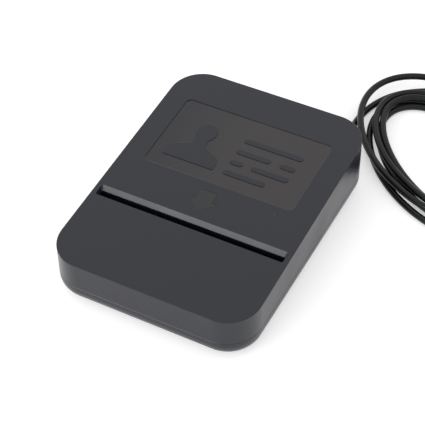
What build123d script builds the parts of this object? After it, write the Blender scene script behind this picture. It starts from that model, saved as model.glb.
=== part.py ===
from build123d import *
import math
import os

os.makedirs("parts", exist_ok=True)

# Desktop slot reader for identity documents, in millimetres.
# Origin: centre of the footprint on the table. +Y runs to the rear, +Z up.

# Case
body_width = 140.0
body_depth = 190.0
corner_radius = 23.0
top_tilt = 3.0
front_height = 19.9
base_height = 13.5
belly_radius = 10.5
wall = 2.4
top_skin = 2.6
edge_round = 0.5
seam_bevel = 0.25
tongue_height = 1.8
tongue_width = 1.1
tongue_play = 0.15

# Feet
foot_stand = 1.5
foot_radius = 6.5
foot_seat = 0.8
foot_play = 0.1
foot_round = 0.5
foot_side = 20.0
foot_end = 35.0

# Case screws
case_screw_side = 18.0
case_screw_end = 16.0
case_screw_radius = 1.5
case_head_radius = 2.8
case_head_height = 1.8
case_head_recess = 5.0
case_post_radius = 4.6
case_thread = 9.0
screw_play = 0.2
pilot_play = 0.05
pilot_extra = 1.0
screw_tip_gap = 0.4

# Slot across the top face
slot_setback = 58.3
mouth_width = 9.0
slot_margin = 3.4
ramp_run = 2.4
ramp_drop = 3.0
end_lead = 1.2
slot_corner = 1.2
lip_round = 0.4

# Card-shaped field behind the slot
field_width = 108.0
field_depth = 63.5
field_setback = 60.0
field_sink = 0.4
field_corner = 4.0

# Page pocket under the slot
guide_wall = 1.6
guide_gap = 1.2
pocket_margin = 0.3
pocket_draw = 1.9
pocket_flare = 4.0
collar_wall = 2.4
collar_height = 4.4
window_margin = 5.5
window_height = 14.5
window_sill = 4.5
glass_thickness = 1.6
glass_lap = 1.5
gasket_thickness = 1.0
glass_play = 0.15
glass_bevel = 0.2
rim_width = 1.2
link_radius = 2.0
link_thread = 3.4
link_gap = 0.1
ear_radius = 3.0
ear_thickness = 1.5
front_ear_inset = 15.5
rear_ear_inset = 1.0
rear_ear_reach = 8.0
small_screw_radius = 1.0
small_head_radius = 1.9
small_head_height = 1.3

# Optics housing behind the window
tunnel_setback = 58.6
tunnel_wall = 1.5
tunnel_rear_width = 76.0
flange_thickness = 1.6
rear_plate = 2.0
hanger_gap = 2.2
hanger_thickness = 2.2
hanger_radius = 3.8

# Camera
camera_board_width = 34.0
camera_board_height = 20.0
camera_board_corner = 1.0
camera_board_gap = 3.0
board_thickness = 1.6
holder_size = 13.4
holder_depth = 10.0
holder_play = 0.3
barrel_radius = 6.0
barrel_length = 9.0
barrel_overlap = 7.0
lens_radius = 4.2
lens_thickness = 3.0
lens_rim = 1.2
lens_seat = 0.6
spacer_inset = 2.6
spacer_radius = 2.0
sensor_size = 8.0
sensor_thickness = 1.2

# Lamps beside the camera
led_board_width = 22.0
led_board_height = 13.0
led_board_x = 23.0
led_length = 3.5
led_height = 2.8
led_thickness = 1.9
led_lens_radius = 1.06
led_lens_depth = 0.5
led_pin_radius = 0.32
led_pin_pitch = 2.54
led_pin_inset = 2.5

# Antenna under the card-shaped field
antenna_width = 80.0
antenna_depth = 50.0
antenna_shift = 5.0
antenna_thickness = 1.0
antenna_drop = 1.5
peg_radius = 2.4
pin_radius = 1.0
pin_play = 0.15

# Main board
main_width = 100.0
main_depth = 56.0
main_setback = 51.0
main_lift = 3.0
main_corner_inset = 5.0
board_corner = 2.0
post_radius = 3.0
package_bevel = 0.2
package_gap = 0.5
chip_row = -16.0
processor_x = 4.0
processor_size = 17.0
processor_height = 1.4
memory_x = 22.0
memory_pitch = 10.0
memory_length = 10.0
memory_width = 8.0
memory_height = 1.1
shield_x = -26.0
shield_length = 26.0
shield_width = 20.0
shield_height = 2.4
shield_bevel = 0.4
crystal_x = -9.0
crystal_shift = 6.0
crystal_length = 3.5
crystal_width = 6.0
crystal_height = 1.3
inductor_x = -5.5
inductor_pitch = 9.0
inductor_size = 7.0
inductor_height = 4.0
inductor_bevel = 0.8
can_x = 16.0
can_pitch = 8.0
can_radius = 3.15
can_height = 6.0
can_round = 0.4
buzzer_x = -37.5
buzzer_row = 14.0
buzzer_radius = 6.0
buzzer_height = 5.0
buzzer_hole_radius = 1.2
buzzer_hole_depth = 1.6
header_edge = 15.0
header_inset = 16.0
header_pitch = 2.0
header_side = 1.0
header_depth = 5.0
header_height = 5.0
header_bevel = 0.3
core_pitch = 1.2
core_radius = 0.55
core_run = 3.0
core_bend = 1.2

# Ribbons and leads
ribbon_width = 12.0
ribbon_thickness = 0.3
ribbon_bend = 1.2
ribbon_bow = 3.5
ribbon_socket_height = 2.0
ribbon_socket_depth = 3.0
ribbon_socket_side = 2.0
antenna_ribbon_x = -24.0
antenna_ribbon_width = 6.0
antenna_socket_inset = 2.0
radio_socket_inset = 8.0
sensor_socket_x = 34.0
lead_radius = 0.5
lead_pitch = 1.4
lead_gap = 0.2
lead_run = 3.0
lead_climb = 4.0
lead_bend = 1.4
lead_socket_inset = 2.0
lead_socket_side = 0.75
gate_socket_inset = 1.0

# Sensing lever in the pocket's front wall
lever_inset = 4.0
lever_width = 3.0
lever_pivot_gap = 4.6
lever_pivot_rise = 18.0
lever_hub_radius = 2.2
lever_pin_radius = 1.0
lever_pin_play = 0.05
lever_reach = 13.5
lever_lean = 50.0
lever_thickness = 1.6
lever_swing = 26.0
blade_length = 13.0
blade_depth = 5.0
blade_thickness = 1.2
gate_width = 9.0
gate_gap = 3.0
gate_depth = 5.0
gate_height = 9.5
gate_base = 3.5
ear_gap = 0.5
lever_ear_width = 1.8
stop_gap = 0.3
sensor_drop = 13.2
sensor_margin = 2.5
shelf_width = 16.0
shelf_shift = 3.0
shelf_thickness = 1.8

# Cable
cable_radius = 2.05
exit_side = 27.0
boot_neck_radius = 4.2
boot_flange_radius = 5.0
boot_flange = 2.0
boot_flange_gap = 0.4
boot_collar_radius = 5.2
boot_collar = 2.0
boot_length = 10.0
boot_tip_radius = 3.2
boot_grooves = 4
boot_groove_depth = 0.6
boot_play = 0.1
table_gap = 0.1
clamp_setback = 7.0
clamp_left = 9.5
clamp_right = 3.6
clamp_depth = 6.0
clamp_screw_reach = 6.2
clamp_thread = 5.0
clamp_skin = 2.0
clamp_corner = 1.0
clamp_play = 0.05

# Cable coil beside the case
coil_turns = 5.0
coil_long = 83.5
coil_short = 55.5
coil_heading = -38.0
coil_x = 118.0
coil_y = 120.0
coil_start = 130.0
coil_pitch = 8.0
coil_rise = 5.4
coil_drift_x = -1.0
coil_drift_y = 2.0
coil_shift_x = -0.5
coil_shift_y = 2.0

# Plug
plug_length = 24.0
plug_width = 15.5
plug_height = 8.0
shell_width = 12.0
shell_height = 4.5
shell_length = 18.7
shell_skin = 0.3
shell_hole_length = 2.0
shell_hole_width = 2.5
shell_hole_setback = 8.2
plug_neck = 7.0
plug_neck_radius = 3.4
plug_root_radius = 3.05
plug_round = 2.5
plug_x = 165.0
plug_y = 209.0
plug_heading = 8.0
tongue_thickness = 1.9
tongue_gap = 0.2
tongue_setback = 1.0

# Worked-out heights and planes
floor_top = foot_stand + wall
parting = foot_stand + base_height
rise = math.tan(math.radians(top_tilt))
front_y = -body_depth / 2
rear_y = body_depth / 2


def top_height(y):
    """Height of the tilted top face above the table at depth y."""
    return parting + front_height + (y - front_y) * rise


rear_height = top_height(rear_y)
top_plane = Plane(
    origin=(0, 0, top_height(0)),
    x_dir=(1, 0, 0),
    z_dir=(0, -math.sin(math.radians(top_tilt)), math.cos(math.radians(top_tilt))),
)
ceiling = top_plane.offset(-top_skin)

mouth_length = body_width - 2 * slot_margin
slot_front = front_y + slot_setback
slot_rear = slot_front + mouth_width
throat_rear = slot_rear - ramp_run
throat_width = mouth_width - ramp_run
throat_length = mouth_length - 2 * end_lead
throat_y = slot_front + throat_width / 2
slot_y = slot_front + mouth_width / 2
throat_top = top_height(slot_y) - ramp_drop
collar_bottom = top_height(slot_y) - top_skin - collar_height
pocket_front = slot_front - pocket_margin
pocket_rear = throat_rear + pocket_margin
pocket_length = throat_length - 2 * pocket_draw
window_length = pocket_length - 2 * window_margin
guide_low_half = pocket_length / 2 + guide_wall
guide_half = throat_length / 2 + guide_wall

inner_half_width = body_width / 2 - wall
inner_half_depth = body_depth / 2 - wall
belly_inner = belly_radius - wall
belly_reach = max(0.0, guide_low_half - (inner_half_width - belly_inner))
guide_bottom = foot_stand + belly_radius + guide_gap - math.sqrt(max(0.0, belly_inner**2 - belly_reach**2))
pocket_floor = guide_bottom + guide_wall
guide_front_face = pocket_front - guide_wall
guide_rear_face = pocket_rear + guide_wall
front_ear_x = pocket_length / 2 - front_ear_inset
rear_ear_x = pocket_length / 2 - rear_ear_inset
lever_x = pocket_length / 2 - lever_inset

# Places that follow the case's sides and its rear wall
foot_x = body_width / 2 - foot_side
foot_y = body_depth / 2 - foot_end
case_screw_x = body_width / 2 - case_screw_side
case_screw_y = body_depth / 2 - case_screw_end
exit_x = body_width / 2 - exit_side
header_x = main_width / 2 - header_edge
field_y = rear_y - field_setback
antenna_y = field_y - antenna_shift
main_y = rear_y - main_setback
tunnel_rear = rear_y - tunnel_setback
hanger_x = antenna_width / 2 + hanger_gap + hanger_radius


def front_view(y, z=0.0, x=0.0):
    """Upright plane at depth y, seen from the front: +X right, +Z up."""
    return Plane(origin=(x, y, z), x_dir=(1, 0, 0), z_dir=(0, -1, 0))


def side_view(x):
    """Upright plane at x, seen from the right: +Y to the right, +Z up."""
    return Plane(origin=(x, 0, 0), x_dir=(0, 1, 0), z_dir=(1, 0, 0))


def screw(radius, head_radius, length, head_height):
    """Pan-head screw along +Z, its head's underside on the plane z = 0."""
    with BuildPart() as fastener:
        with BuildSketch(Plane.XY.offset(-head_height)):
            Circle(head_radius)
        extrude(amount=head_height)
        fillet(fastener.faces().sort_by(Axis.Z)[0].edges(), head_height * 0.35)
        with BuildSketch(Plane.XY.offset(-head_height)):
            Rectangle(head_radius * 1.1, head_radius * 0.25)
            Rectangle(head_radius * 0.25, head_radius * 1.1)
        extrude(amount=head_height * 0.5, mode=Mode.SUBTRACT)
        with BuildSketch(Plane.XY):
            Circle(radius)
        extrude(amount=length)
    return fastener.part


def corners(x, y, middle=0.0):
    """The four corners of a rectangle whose centre lies at depth middle."""
    return [(sx * x, middle + sy * y) for sx in (-1, 1) for sy in (-1, 1)]


# Case screw lengths and seats
case_seat = foot_stand + case_head_recess
case_screw_length = parting - case_seat + case_thread

# Upper cover: the cavity is cut parallel to the tilted top
with BuildPart() as cover_cavity:
    with BuildSketch(Plane.XY.offset(parting)):
        RectangleRounded(2 * inner_half_width, 2 * inner_half_depth, corner_radius - wall)
    extrude(amount=rear_height)
    split(bisect_by=ceiling, keep=Keep.BOTTOM)

with BuildPart() as slot_void:
    with BuildSketch(top_plane):
        with Locations((0, slot_y / math.cos(math.radians(top_tilt)))):
            RectangleRounded(mouth_length, mouth_width, slot_corner)
    extrude(amount=top_skin)
    with BuildSketch(top_plane):
        with Locations((0, slot_y / math.cos(math.radians(top_tilt)))):
            RectangleRounded(mouth_length, mouth_width, slot_corner)
    with BuildSketch(Plane.XY.offset(throat_top)):
        with Locations((0, throat_y)):
            RectangleRounded(throat_length, throat_width, slot_corner)
    loft()
    with BuildSketch(Plane.XY.offset(throat_top)):
        with Locations((0, throat_y)):
            RectangleRounded(throat_length, throat_width, slot_corner)
    extrude(amount=-(throat_top - collar_bottom + wall))

with BuildPart() as slot_collar:
    with BuildSketch(Plane.XY.offset(collar_bottom)):
        with Locations((0, throat_y)):
            Rectangle(body_width - wall, throat_width + 2 * collar_wall)
        with Locations((0, slot_y)):
            Rectangle(body_width - wall, mouth_width)
    extrude(amount=rear_height)
    split(bisect_by=ceiling.offset(top_skin / 2), keep=Keep.BOTTOM)

hanger_y = tunnel_rear - hanger_radius
tunnel_mid = pocket_floor + window_sill + window_height / 2
tunnel_height = window_height + 2 * tunnel_wall
hanger_top = tunnel_mid + tunnel_height / 2 + hanger_thickness
guide_ears = [(s * front_ear_x, guide_front_face - ear_radius) for s in (-1, 1)]
guide_ears += [(s * rear_ear_x, guide_rear_face + rear_ear_reach) for s in (-1, 1)]

with BuildPart() as cover_posts:
    with BuildSketch(Plane.XY.offset(parting)):
        with Locations(*corners(case_screw_x, case_screw_y)):
            Circle(case_post_radius)
    extrude(amount=rear_height)
    with BuildSketch(Plane.XY.offset(collar_bottom)):
        with Locations(*guide_ears):
            Circle(ear_radius)
    extrude(amount=rear_height)
    with BuildSketch(Plane.XY.offset(hanger_top)):
        with Locations((-hanger_x, hanger_y), (hanger_x, hanger_y)):
            Circle(hanger_radius)
    extrude(amount=rear_height)
    split(bisect_by=ceiling.offset(top_skin / 2), keep=Keep.BOTTOM)

antenna_plane = ceiling.offset(-antenna_drop)
antenna_points = corners(antenna_width / 2 - main_corner_inset, antenna_depth / 2 - main_corner_inset, antenna_y)


def is_lip(edge):
    """True for the edges where the slot breaks through the top face."""
    middle = edge @ 0.5
    beside, level = 0.2, 0.02
    in_depth = abs(middle.Y - slot_y) < mouth_width / 2 + beside
    in_width = abs(middle.X) < mouth_length / 2 + beside
    return in_depth and in_width and abs(middle.Z - top_height(middle.Y)) < level


with BuildPart() as upper_cover:
    with BuildSketch(Plane.XY.offset(parting)):
        RectangleRounded(body_width, body_depth, corner_radius)
    extrude(amount=rear_height)
    split(bisect_by=top_plane, keep=Keep.BOTTOM)
    fillet(upper_cover.faces().sort_by(Axis.Z)[-1].edges(), edge_round)
    chamfer(upper_cover.faces().sort_by(Axis.Z)[0].edges(), seam_bevel)
    add(cover_cavity.part, mode=Mode.SUBTRACT)
    with BuildSketch(Plane.XY.offset(parting)):
        RectangleRounded(
            body_width - 2 * (wall - tongue_width - tongue_play),
            body_depth - 2 * (wall - tongue_width - tongue_play),
            corner_radius - (wall - tongue_width - tongue_play),
        )
    extrude(amount=tongue_height + tongue_play, mode=Mode.SUBTRACT)
    add(cover_posts.part)
    add(slot_collar.part)
    add(slot_void.part, mode=Mode.SUBTRACT)
    with BuildSketch(top_plane):
        with Locations((0, field_y)):
            RectangleRounded(field_width, field_depth, field_corner)
    extrude(amount=-field_sink, mode=Mode.SUBTRACT)
    with BuildSketch(antenna_plane):
        with Locations(*antenna_points):
            Circle(peg_radius)
    extrude(amount=antenna_drop + top_skin / 2)
    with BuildSketch(antenna_plane.offset(-antenna_thickness - pin_radius / 2)):
        with Locations(*antenna_points):
            Circle(pin_radius)
    extrude(amount=antenna_thickness + pin_radius)
    fillet([edge for edge in upper_cover.edges() if is_lip(edge)], lip_round)
    # Blind pilot holes for the case, guide and housing screws
    with Locations(*[Location((x, y, parting)) for x, y in corners(case_screw_x, case_screw_y)]):
        Cylinder(
            case_screw_radius + pilot_play,
            case_thread + pilot_extra,
            align=(Align.CENTER, Align.CENTER, Align.MIN),
            mode=Mode.SUBTRACT,
        )
    with Locations(*[Location((x, y, collar_bottom)) for x, y in guide_ears]):
        Cylinder(
            small_screw_radius + pilot_play,
            collar_height,
            align=(Align.CENTER, Align.CENTER, Align.MIN),
            mode=Mode.SUBTRACT,
        )
    with Locations((-hanger_x, hanger_y, hanger_top), (hanger_x, hanger_y, hanger_top)):
        Cylinder(
            small_screw_radius + pilot_play,
            collar_height,
            align=(Align.CENTER, Align.CENTER, Align.MIN),
            mode=Mode.SUBTRACT,
        )
    # Half of the cable outlet
    with BuildSketch(front_view(rear_y + wall, parting, exit_x)):
        Circle(boot_neck_radius + boot_play)
    extrude(amount=3 * wall, mode=Mode.SUBTRACT)
upper_cover.part.label = "upper_cover"
export_step(upper_cover.part, "parts/upper_cover.step")

# Base shell: the belly turns under with the same wall all round
with BuildPart() as base_cavity:
    with BuildSketch(Plane.XY.offset(floor_top)):
        RectangleRounded(2 * inner_half_width, 2 * inner_half_depth, corner_radius - wall)
    extrude(amount=base_height)
    fillet(base_cavity.faces().sort_by(Axis.Z)[0].edges(), belly_inner)

main_bottom = floor_top + main_lift
main_top = main_bottom + board_thickness
main_points = corners(main_width / 2 - main_corner_inset, main_depth / 2 - main_corner_inset, main_y)
foot_points = corners(foot_x, foot_y)
clamp_y = rear_y - wall - boot_flange - clamp_setback
clamp_mid = exit_x + (clamp_right - clamp_left) / 2
clamp_screw_x = exit_x - clamp_screw_reach

with BuildPart() as base_shell:
    with BuildSketch(Plane.XY.offset(foot_stand)):
        RectangleRounded(body_width, body_depth, corner_radius)
    extrude(amount=base_height)
    fillet(base_shell.faces().sort_by(Axis.Z)[0].edges(), belly_radius)
    chamfer(base_shell.faces().sort_by(Axis.Z)[-1].edges(), seam_bevel)
    add(base_cavity.part, mode=Mode.SUBTRACT)
    with BuildSketch(Plane.XY.offset(parting)):
        RectangleRounded(
            body_width - 2 * (wall - tongue_width),
            body_depth - 2 * (wall - tongue_width),
            corner_radius - (wall - tongue_width),
        )
        RectangleRounded(2 * inner_half_width, 2 * inner_half_depth, corner_radius - wall, mode=Mode.SUBTRACT)
    extrude(amount=tongue_height)
    with BuildSketch(Plane.XY.offset(floor_top - wall / 2)):
        with Locations(*corners(case_screw_x, case_screw_y)):
            Circle(case_post_radius)
    extrude(amount=parting - floor_top + wall / 2)
    with BuildSketch(Plane.XY.offset(floor_top - wall / 2)):
        with Locations(*main_points):
            Circle(post_radius)
    extrude(amount=main_lift + wall / 2)
    # Saddle that the cable clamp presses on
    with BuildSketch(Plane.XY.offset(floor_top - wall / 2)):
        with Locations((clamp_mid, clamp_y)):
            Rectangle(clamp_left + clamp_right, clamp_depth)
    extrude(amount=parting - floor_top + wall / 2)
    with Locations(*[Location((x, y, foot_stand)) for x, y in corners(case_screw_x, case_screw_y)]):
        Cylinder(
            case_head_radius + screw_play,
            case_head_recess,
            align=(Align.CENTER, Align.CENTER, Align.MIN),
            mode=Mode.SUBTRACT,
        )
        Cylinder(
            case_screw_radius + screw_play,
            base_height,
            align=(Align.CENTER, Align.CENTER, Align.MIN),
            mode=Mode.SUBTRACT,
        )
    with Locations(*[Location((x, y, main_bottom)) for x, y in main_points]):
        Cylinder(
            small_screw_radius + pilot_play,
            main_lift,
            align=(Align.CENTER, Align.CENTER, Align.MAX),
            mode=Mode.SUBTRACT,
        )
    with Locations((clamp_screw_x, clamp_y, parting)):
        Cylinder(
            small_screw_radius + pilot_play,
            clamp_thread + pilot_extra,
            align=(Align.CENTER, Align.CENTER, Align.MAX),
            mode=Mode.SUBTRACT,
        )
    with BuildSketch(Plane.XY.offset(foot_stand)):
        with Locations(*foot_points):
            Circle(foot_radius)
    extrude(amount=foot_seat, mode=Mode.SUBTRACT)
    with BuildSketch(front_view(rear_y + wall, parting, exit_x)):
        Circle(boot_neck_radius + boot_play)
    extrude(amount=2.5 * wall, mode=Mode.SUBTRACT)
    with BuildSketch(front_view(clamp_y, parting, exit_x)):
        Circle(cable_radius + clamp_play)
    extrude(amount=clamp_depth, both=True, mode=Mode.SUBTRACT)
base_shell.part.label = "base_shell"
export_step(base_shell.part, "parts/base_shell.step")

# Four rubber feet
for name, (x, y) in zip(("front_left", "rear_left", "front_right", "rear_right"), foot_points):
    with BuildPart() as foot:
        with BuildSketch(Plane.XY):
            with Locations((x, y)):
                Circle(foot_radius - foot_play)
        extrude(amount=foot_stand + foot_seat)
        fillet(foot.faces().sort_by(Axis.Z)[0].edges(), foot_round)
    foot.part.label = f"foot_{name}"
    export_step(foot.part, f"parts/foot_{name}.step")


def write_group(solids, name):
    """Write several like solids as one node."""
    group = Compound(label=name, children=solids)
    export_step(group, f"parts/{name}.step")


# Four long screws join the shells from below
case_screw = screw(case_screw_radius, case_head_radius, case_screw_length, case_head_height)
write_group(
    [case_screw.located(Location((x, y, case_seat))) for x, y in corners(case_screw_x, case_screw_y)],
    "case_screws",
)

# Page pocket: flared top, window in the rear wall, ears for its screws, lever bearing in front
window_bottom = pocket_floor + window_sill
glass_length = window_length + 2 * glass_lap
glass_height = window_height + 2 * glass_lap
tunnel_front = guide_rear_face + glass_thickness + gasket_thickness
link_x = glass_length / 2 + glass_play + rim_width + link_radius + link_gap
pivot_y = guide_front_face - lever_pivot_gap
pivot_z = guide_bottom + lever_pivot_rise
lean = math.radians(lever_lean)
slit_top = pivot_z - lever_pivot_gap / math.tan(lean) + lever_thickness / 2 / math.sin(lean) + stop_gap
slit_bottom = pivot_z - lever_reach * math.cos(lean - math.radians(lever_swing)) - lever_thickness / 2 - ear_gap
lever_ears = [lever_x + s * (lever_width / 2 + ear_gap + lever_ear_width / 2) for s in (-1, 1)]
shelf_x = lever_x - shelf_shift
shelf_top = pivot_z - sensor_drop
shelf_front = pivot_y - blade_length - sensor_margin
lead_socket_width = 3 * lead_pitch + 2 * lead_socket_side
gate_socket_x = shelf_x - (shelf_width - lead_socket_width) / 2

with BuildPart() as slot_guide:
    with BuildSketch(Plane.XY.offset(guide_bottom)):
        with Locations((0, (guide_front_face + guide_rear_face) / 2)):
            Rectangle(2 * guide_low_half, guide_rear_face - guide_front_face)
    extrude(amount=collar_bottom - guide_bottom)
    with BuildSketch(Plane.XY.offset(collar_bottom - pocket_flare)):
        with Locations((0, (guide_front_face + guide_rear_face) / 2)):
            Rectangle(2 * guide_half, guide_rear_face - guide_front_face)
    extrude(amount=pocket_flare)
    # Ears under the cover's posts
    with BuildSketch(Plane.XY.offset(collar_bottom - ear_thickness)):
        with Locations(*guide_ears):
            Circle(ear_radius)
        with Locations(*[(s * front_ear_x, guide_front_face - ear_radius / 2) for s in (-1, 1)]):
            Rectangle(2 * ear_radius, ear_radius)
        with Locations(*[(s * rear_ear_x, guide_rear_face + rear_ear_reach / 2) for s in (-1, 1)]):
            Rectangle(2 * ear_radius, rear_ear_reach)
    extrude(amount=ear_thickness)
    # Rim round the glass and two bosses for the optics housing
    with BuildSketch(front_view(guide_rear_face, tunnel_mid)):
        Rectangle(glass_length + 2 * (glass_play + rim_width), glass_height + 2 * (glass_play + rim_width))
        Rectangle(glass_length + 2 * glass_play, glass_height + 2 * glass_play, mode=Mode.SUBTRACT)
    extrude(amount=-glass_thickness)
    with BuildSketch(front_view(guide_rear_face, tunnel_mid)):
        with Locations((-link_x, 0), (link_x, 0)):
            Circle(link_radius)
    extrude(amount=-(glass_thickness + gasket_thickness))
    # Bearing ears of the sensing lever
    for ear_x in lever_ears:
        with BuildSketch(side_view(ear_x)):
            with Locations((pivot_y, pivot_z)):
                Circle(lever_hub_radius + ear_gap)
            with Locations(((pivot_y + guide_front_face) / 2, pivot_z)):
                Rectangle(guide_front_face - pivot_y, 2 * (lever_hub_radius + ear_gap))
        extrude(amount=lever_ear_width / 2, both=True)
    # Shelf for the light gate, with a rib under it
    with BuildSketch(Plane.XY.offset(shelf_top - shelf_thickness)):
        with Locations((shelf_x, (shelf_front + guide_front_face) / 2)):
            Rectangle(shelf_width, guide_front_face - shelf_front)
    extrude(amount=shelf_thickness)
    with BuildSketch(side_view(shelf_x)):
        with BuildLine():
            Polyline(
                (guide_front_face, shelf_top - shelf_thickness),
                (shelf_front + shelf_thickness, shelf_top - shelf_thickness),
                (guide_front_face, guide_bottom),
                close=True,
            )
        make_face()
    extrude(amount=shelf_thickness / 2, both=True)
    # Pocket with its flared mouth
    with BuildSketch(Plane.XY.offset(pocket_floor)):
        with Locations((0, (pocket_front + pocket_rear) / 2)):
            Rectangle(pocket_length, pocket_rear - pocket_front)
    extrude(amount=collar_bottom - pocket_floor, mode=Mode.SUBTRACT)
    with BuildSketch(Plane.XY.offset(collar_bottom - pocket_flare)):
        with Locations((0, (pocket_front + pocket_rear) / 2)):
            Rectangle(pocket_length, pocket_rear - pocket_front)
    with BuildSketch(Plane.XY.offset(collar_bottom)):
        with Locations((0, (pocket_front + pocket_rear) / 2)):
            Rectangle(throat_length, pocket_rear - pocket_front)
    loft(mode=Mode.SUBTRACT)
    # Window, lever slit, pin holes and pilot holes
    with BuildSketch(front_view(guide_rear_face, tunnel_mid)):
        Rectangle(window_length, window_height)
    extrude(amount=guide_wall * 1.5, mode=Mode.SUBTRACT)
    with BuildSketch(front_view(pocket_front)):
        with Locations((lever_x, (slit_top + slit_bottom) / 2)):
            Rectangle(lever_width + 2 * ear_gap, slit_top - slit_bottom)
    extrude(amount=guide_wall, both=True, mode=Mode.SUBTRACT)
    with BuildSketch(side_view(lever_x)):
        with Locations((pivot_y, pivot_z)):
            Circle(lever_pin_radius + pilot_play)
    extrude(amount=lever_width + lever_ear_width + 2 * ear_gap, both=True, mode=Mode.SUBTRACT)
    with Locations(*[Location((x, y, collar_bottom)) for x, y in guide_ears]):
        Cylinder(
            small_screw_radius + screw_play,
            2 * ear_thickness,
            align=(Align.CENTER, Align.CENTER, Align.CENTER),
            mode=Mode.SUBTRACT,
        )
    with BuildSketch(front_view(tunnel_front, tunnel_mid)):
        with Locations((-link_x, 0), (link_x, 0)):
            Circle(small_screw_radius + pilot_play)
    extrude(amount=link_thread + screw_play, mode=Mode.SUBTRACT)
slot_guide.part.label = "slot_guide"
export_step(slot_guide.part, "parts/slot_guide.step")

ear_screw_length = ear_thickness + collar_height - screw_tip_gap
ear_screw = screw(small_screw_radius, small_head_radius, ear_screw_length, small_head_height)
write_group(
    [ear_screw.located(Location((x, y, collar_bottom - ear_thickness))) for x, y in guide_ears],
    "guide_screws",
)

# Window glass and its foam gasket
with BuildPart() as window_glass:
    with BuildSketch(front_view(guide_rear_face, tunnel_mid)):
        Rectangle(glass_length, glass_height)
    extrude(amount=-glass_thickness)
    chamfer(window_glass.edges().filter_by(Axis.X), glass_bevel)
window_glass.part.label = "window_glass"
export_step(window_glass.part, "parts/window_glass.step")

with BuildPart() as window_gasket:
    with BuildSketch(front_view(guide_rear_face + glass_thickness, tunnel_mid)):
        Rectangle(glass_length, glass_height)
        Rectangle(window_length, window_height, mode=Mode.SUBTRACT)
    extrude(amount=-gasket_thickness)
window_gasket.part.label = "window_gasket"
export_step(window_gasket.part, "parts/window_gasket.step")

# Optics housing: a tapered tunnel that keeps stray light off the window, hung from the cover
camera_face = tunnel_rear + camera_board_gap
spacer_x = camera_board_width / 2 - spacer_inset
spacer_z = camera_board_height / 2 - spacer_inset
slot_x = led_board_x - led_board_width / 2 + led_pin_inset

with BuildPart() as optics_housing:
    with BuildSketch(front_view(tunnel_front, tunnel_mid)):
        Rectangle(2 * (link_x + link_radius), tunnel_height)
    extrude(amount=-flange_thickness)
    with BuildSketch(front_view(tunnel_front + flange_thickness, tunnel_mid)):
        Rectangle(window_length + 2 * tunnel_wall, tunnel_height)
    with BuildSketch(front_view(tunnel_rear, tunnel_mid)):
        Rectangle(tunnel_rear_width, tunnel_height)
    loft()
    with BuildSketch(Plane.XY.offset(hanger_top - hanger_thickness)):
        with Locations((0, hanger_y)):
            SlotCenterToCenter(2 * hanger_x, 2 * hanger_radius)
    extrude(amount=hanger_thickness)
    with BuildSketch(front_view(tunnel_front, tunnel_mid)):
        Rectangle(window_length, window_height)
    with BuildSketch(front_view(tunnel_rear - rear_plate, tunnel_mid)):
        Rectangle(tunnel_rear_width - 2 * tunnel_wall, window_height)
    loft(mode=Mode.SUBTRACT)
    with BuildSketch(front_view(tunnel_rear, tunnel_mid)):
        with Locations(*corners(spacer_x, spacer_z)):
            Circle(spacer_radius)
    extrude(amount=-camera_board_gap)
    with BuildSketch(front_view(tunnel_rear, tunnel_mid)):
        Rectangle(holder_size + 2 * holder_play, holder_size + 2 * holder_play)
        with Locations((-slot_x, 0), (slot_x, 0)):
            Rectangle(4 * led_pin_radius, 2 * led_pin_pitch + 4 * led_pin_radius)
    extrude(amount=rear_plate * 1.5, mode=Mode.SUBTRACT)
    with BuildSketch(front_view(tunnel_front + flange_thickness, tunnel_mid)):
        with Locations((-link_x, 0), (link_x, 0)):
            Circle(small_screw_radius + screw_play)
    extrude(amount=2 * flange_thickness, both=True, mode=Mode.SUBTRACT)
    with BuildSketch(front_view(camera_face, tunnel_mid)):
        with Locations(*corners(spacer_x, spacer_z)):
            Circle(small_screw_radius + pilot_play)
    extrude(amount=camera_board_gap + rear_plate / 2, mode=Mode.SUBTRACT)
    with BuildSketch(Plane.XY.offset(hanger_top - 2 * hanger_thickness)):
        with Locations((-hanger_x, hanger_y), (hanger_x, hanger_y)):
            Circle(small_screw_radius + screw_play)
    extrude(amount=3 * hanger_thickness, mode=Mode.SUBTRACT)
optics_housing.part.label = "optics_housing"
export_step(optics_housing.part, "parts/optics_housing.step")

link_screw = screw(small_screw_radius, small_head_radius, flange_thickness + link_thread, small_head_height)
hang_screw = screw(small_screw_radius, small_head_radius, hanger_thickness + link_thread, small_head_height)
write_group(
    [
        link_screw.located(front_view(tunnel_front + flange_thickness, tunnel_mid, s * link_x).location)
        for s in (-1, 1)
    ]
    + [
        hang_screw.located(Location((s * hanger_x, hanger_y, hanger_top - hanger_thickness)))
        for s in (-1, 1)
    ],
    "housing_screws",
)

# Camera: board, sensor, threaded holder, barrel and front lens
with BuildPart() as camera_board:
    with BuildSketch(front_view(camera_face, tunnel_mid)):
        RectangleRounded(camera_board_width, camera_board_height, camera_board_corner)
        with Locations(*corners(spacer_x, spacer_z)):
            Circle(small_screw_radius + screw_play, mode=Mode.SUBTRACT)
    extrude(amount=-board_thickness)
camera_board.part.label = "camera_board"
export_step(camera_board.part, "parts/camera_board.step")

camera_screw = screw(small_screw_radius, small_head_radius, board_thickness + camera_board_gap, small_head_height)
write_group(
    [
        camera_screw.located(front_view(camera_face + board_thickness, tunnel_mid + z, x).location)
        for x, z in corners(spacer_x, spacer_z)
    ],
    "camera_screws",
)

with BuildPart() as image_sensor:
    with BuildSketch(front_view(camera_face, tunnel_mid)):
        Rectangle(sensor_size, sensor_size)
    extrude(amount=sensor_thickness)
image_sensor.part.label = "image_sensor"
export_step(image_sensor.part, "parts/image_sensor.step")

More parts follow.
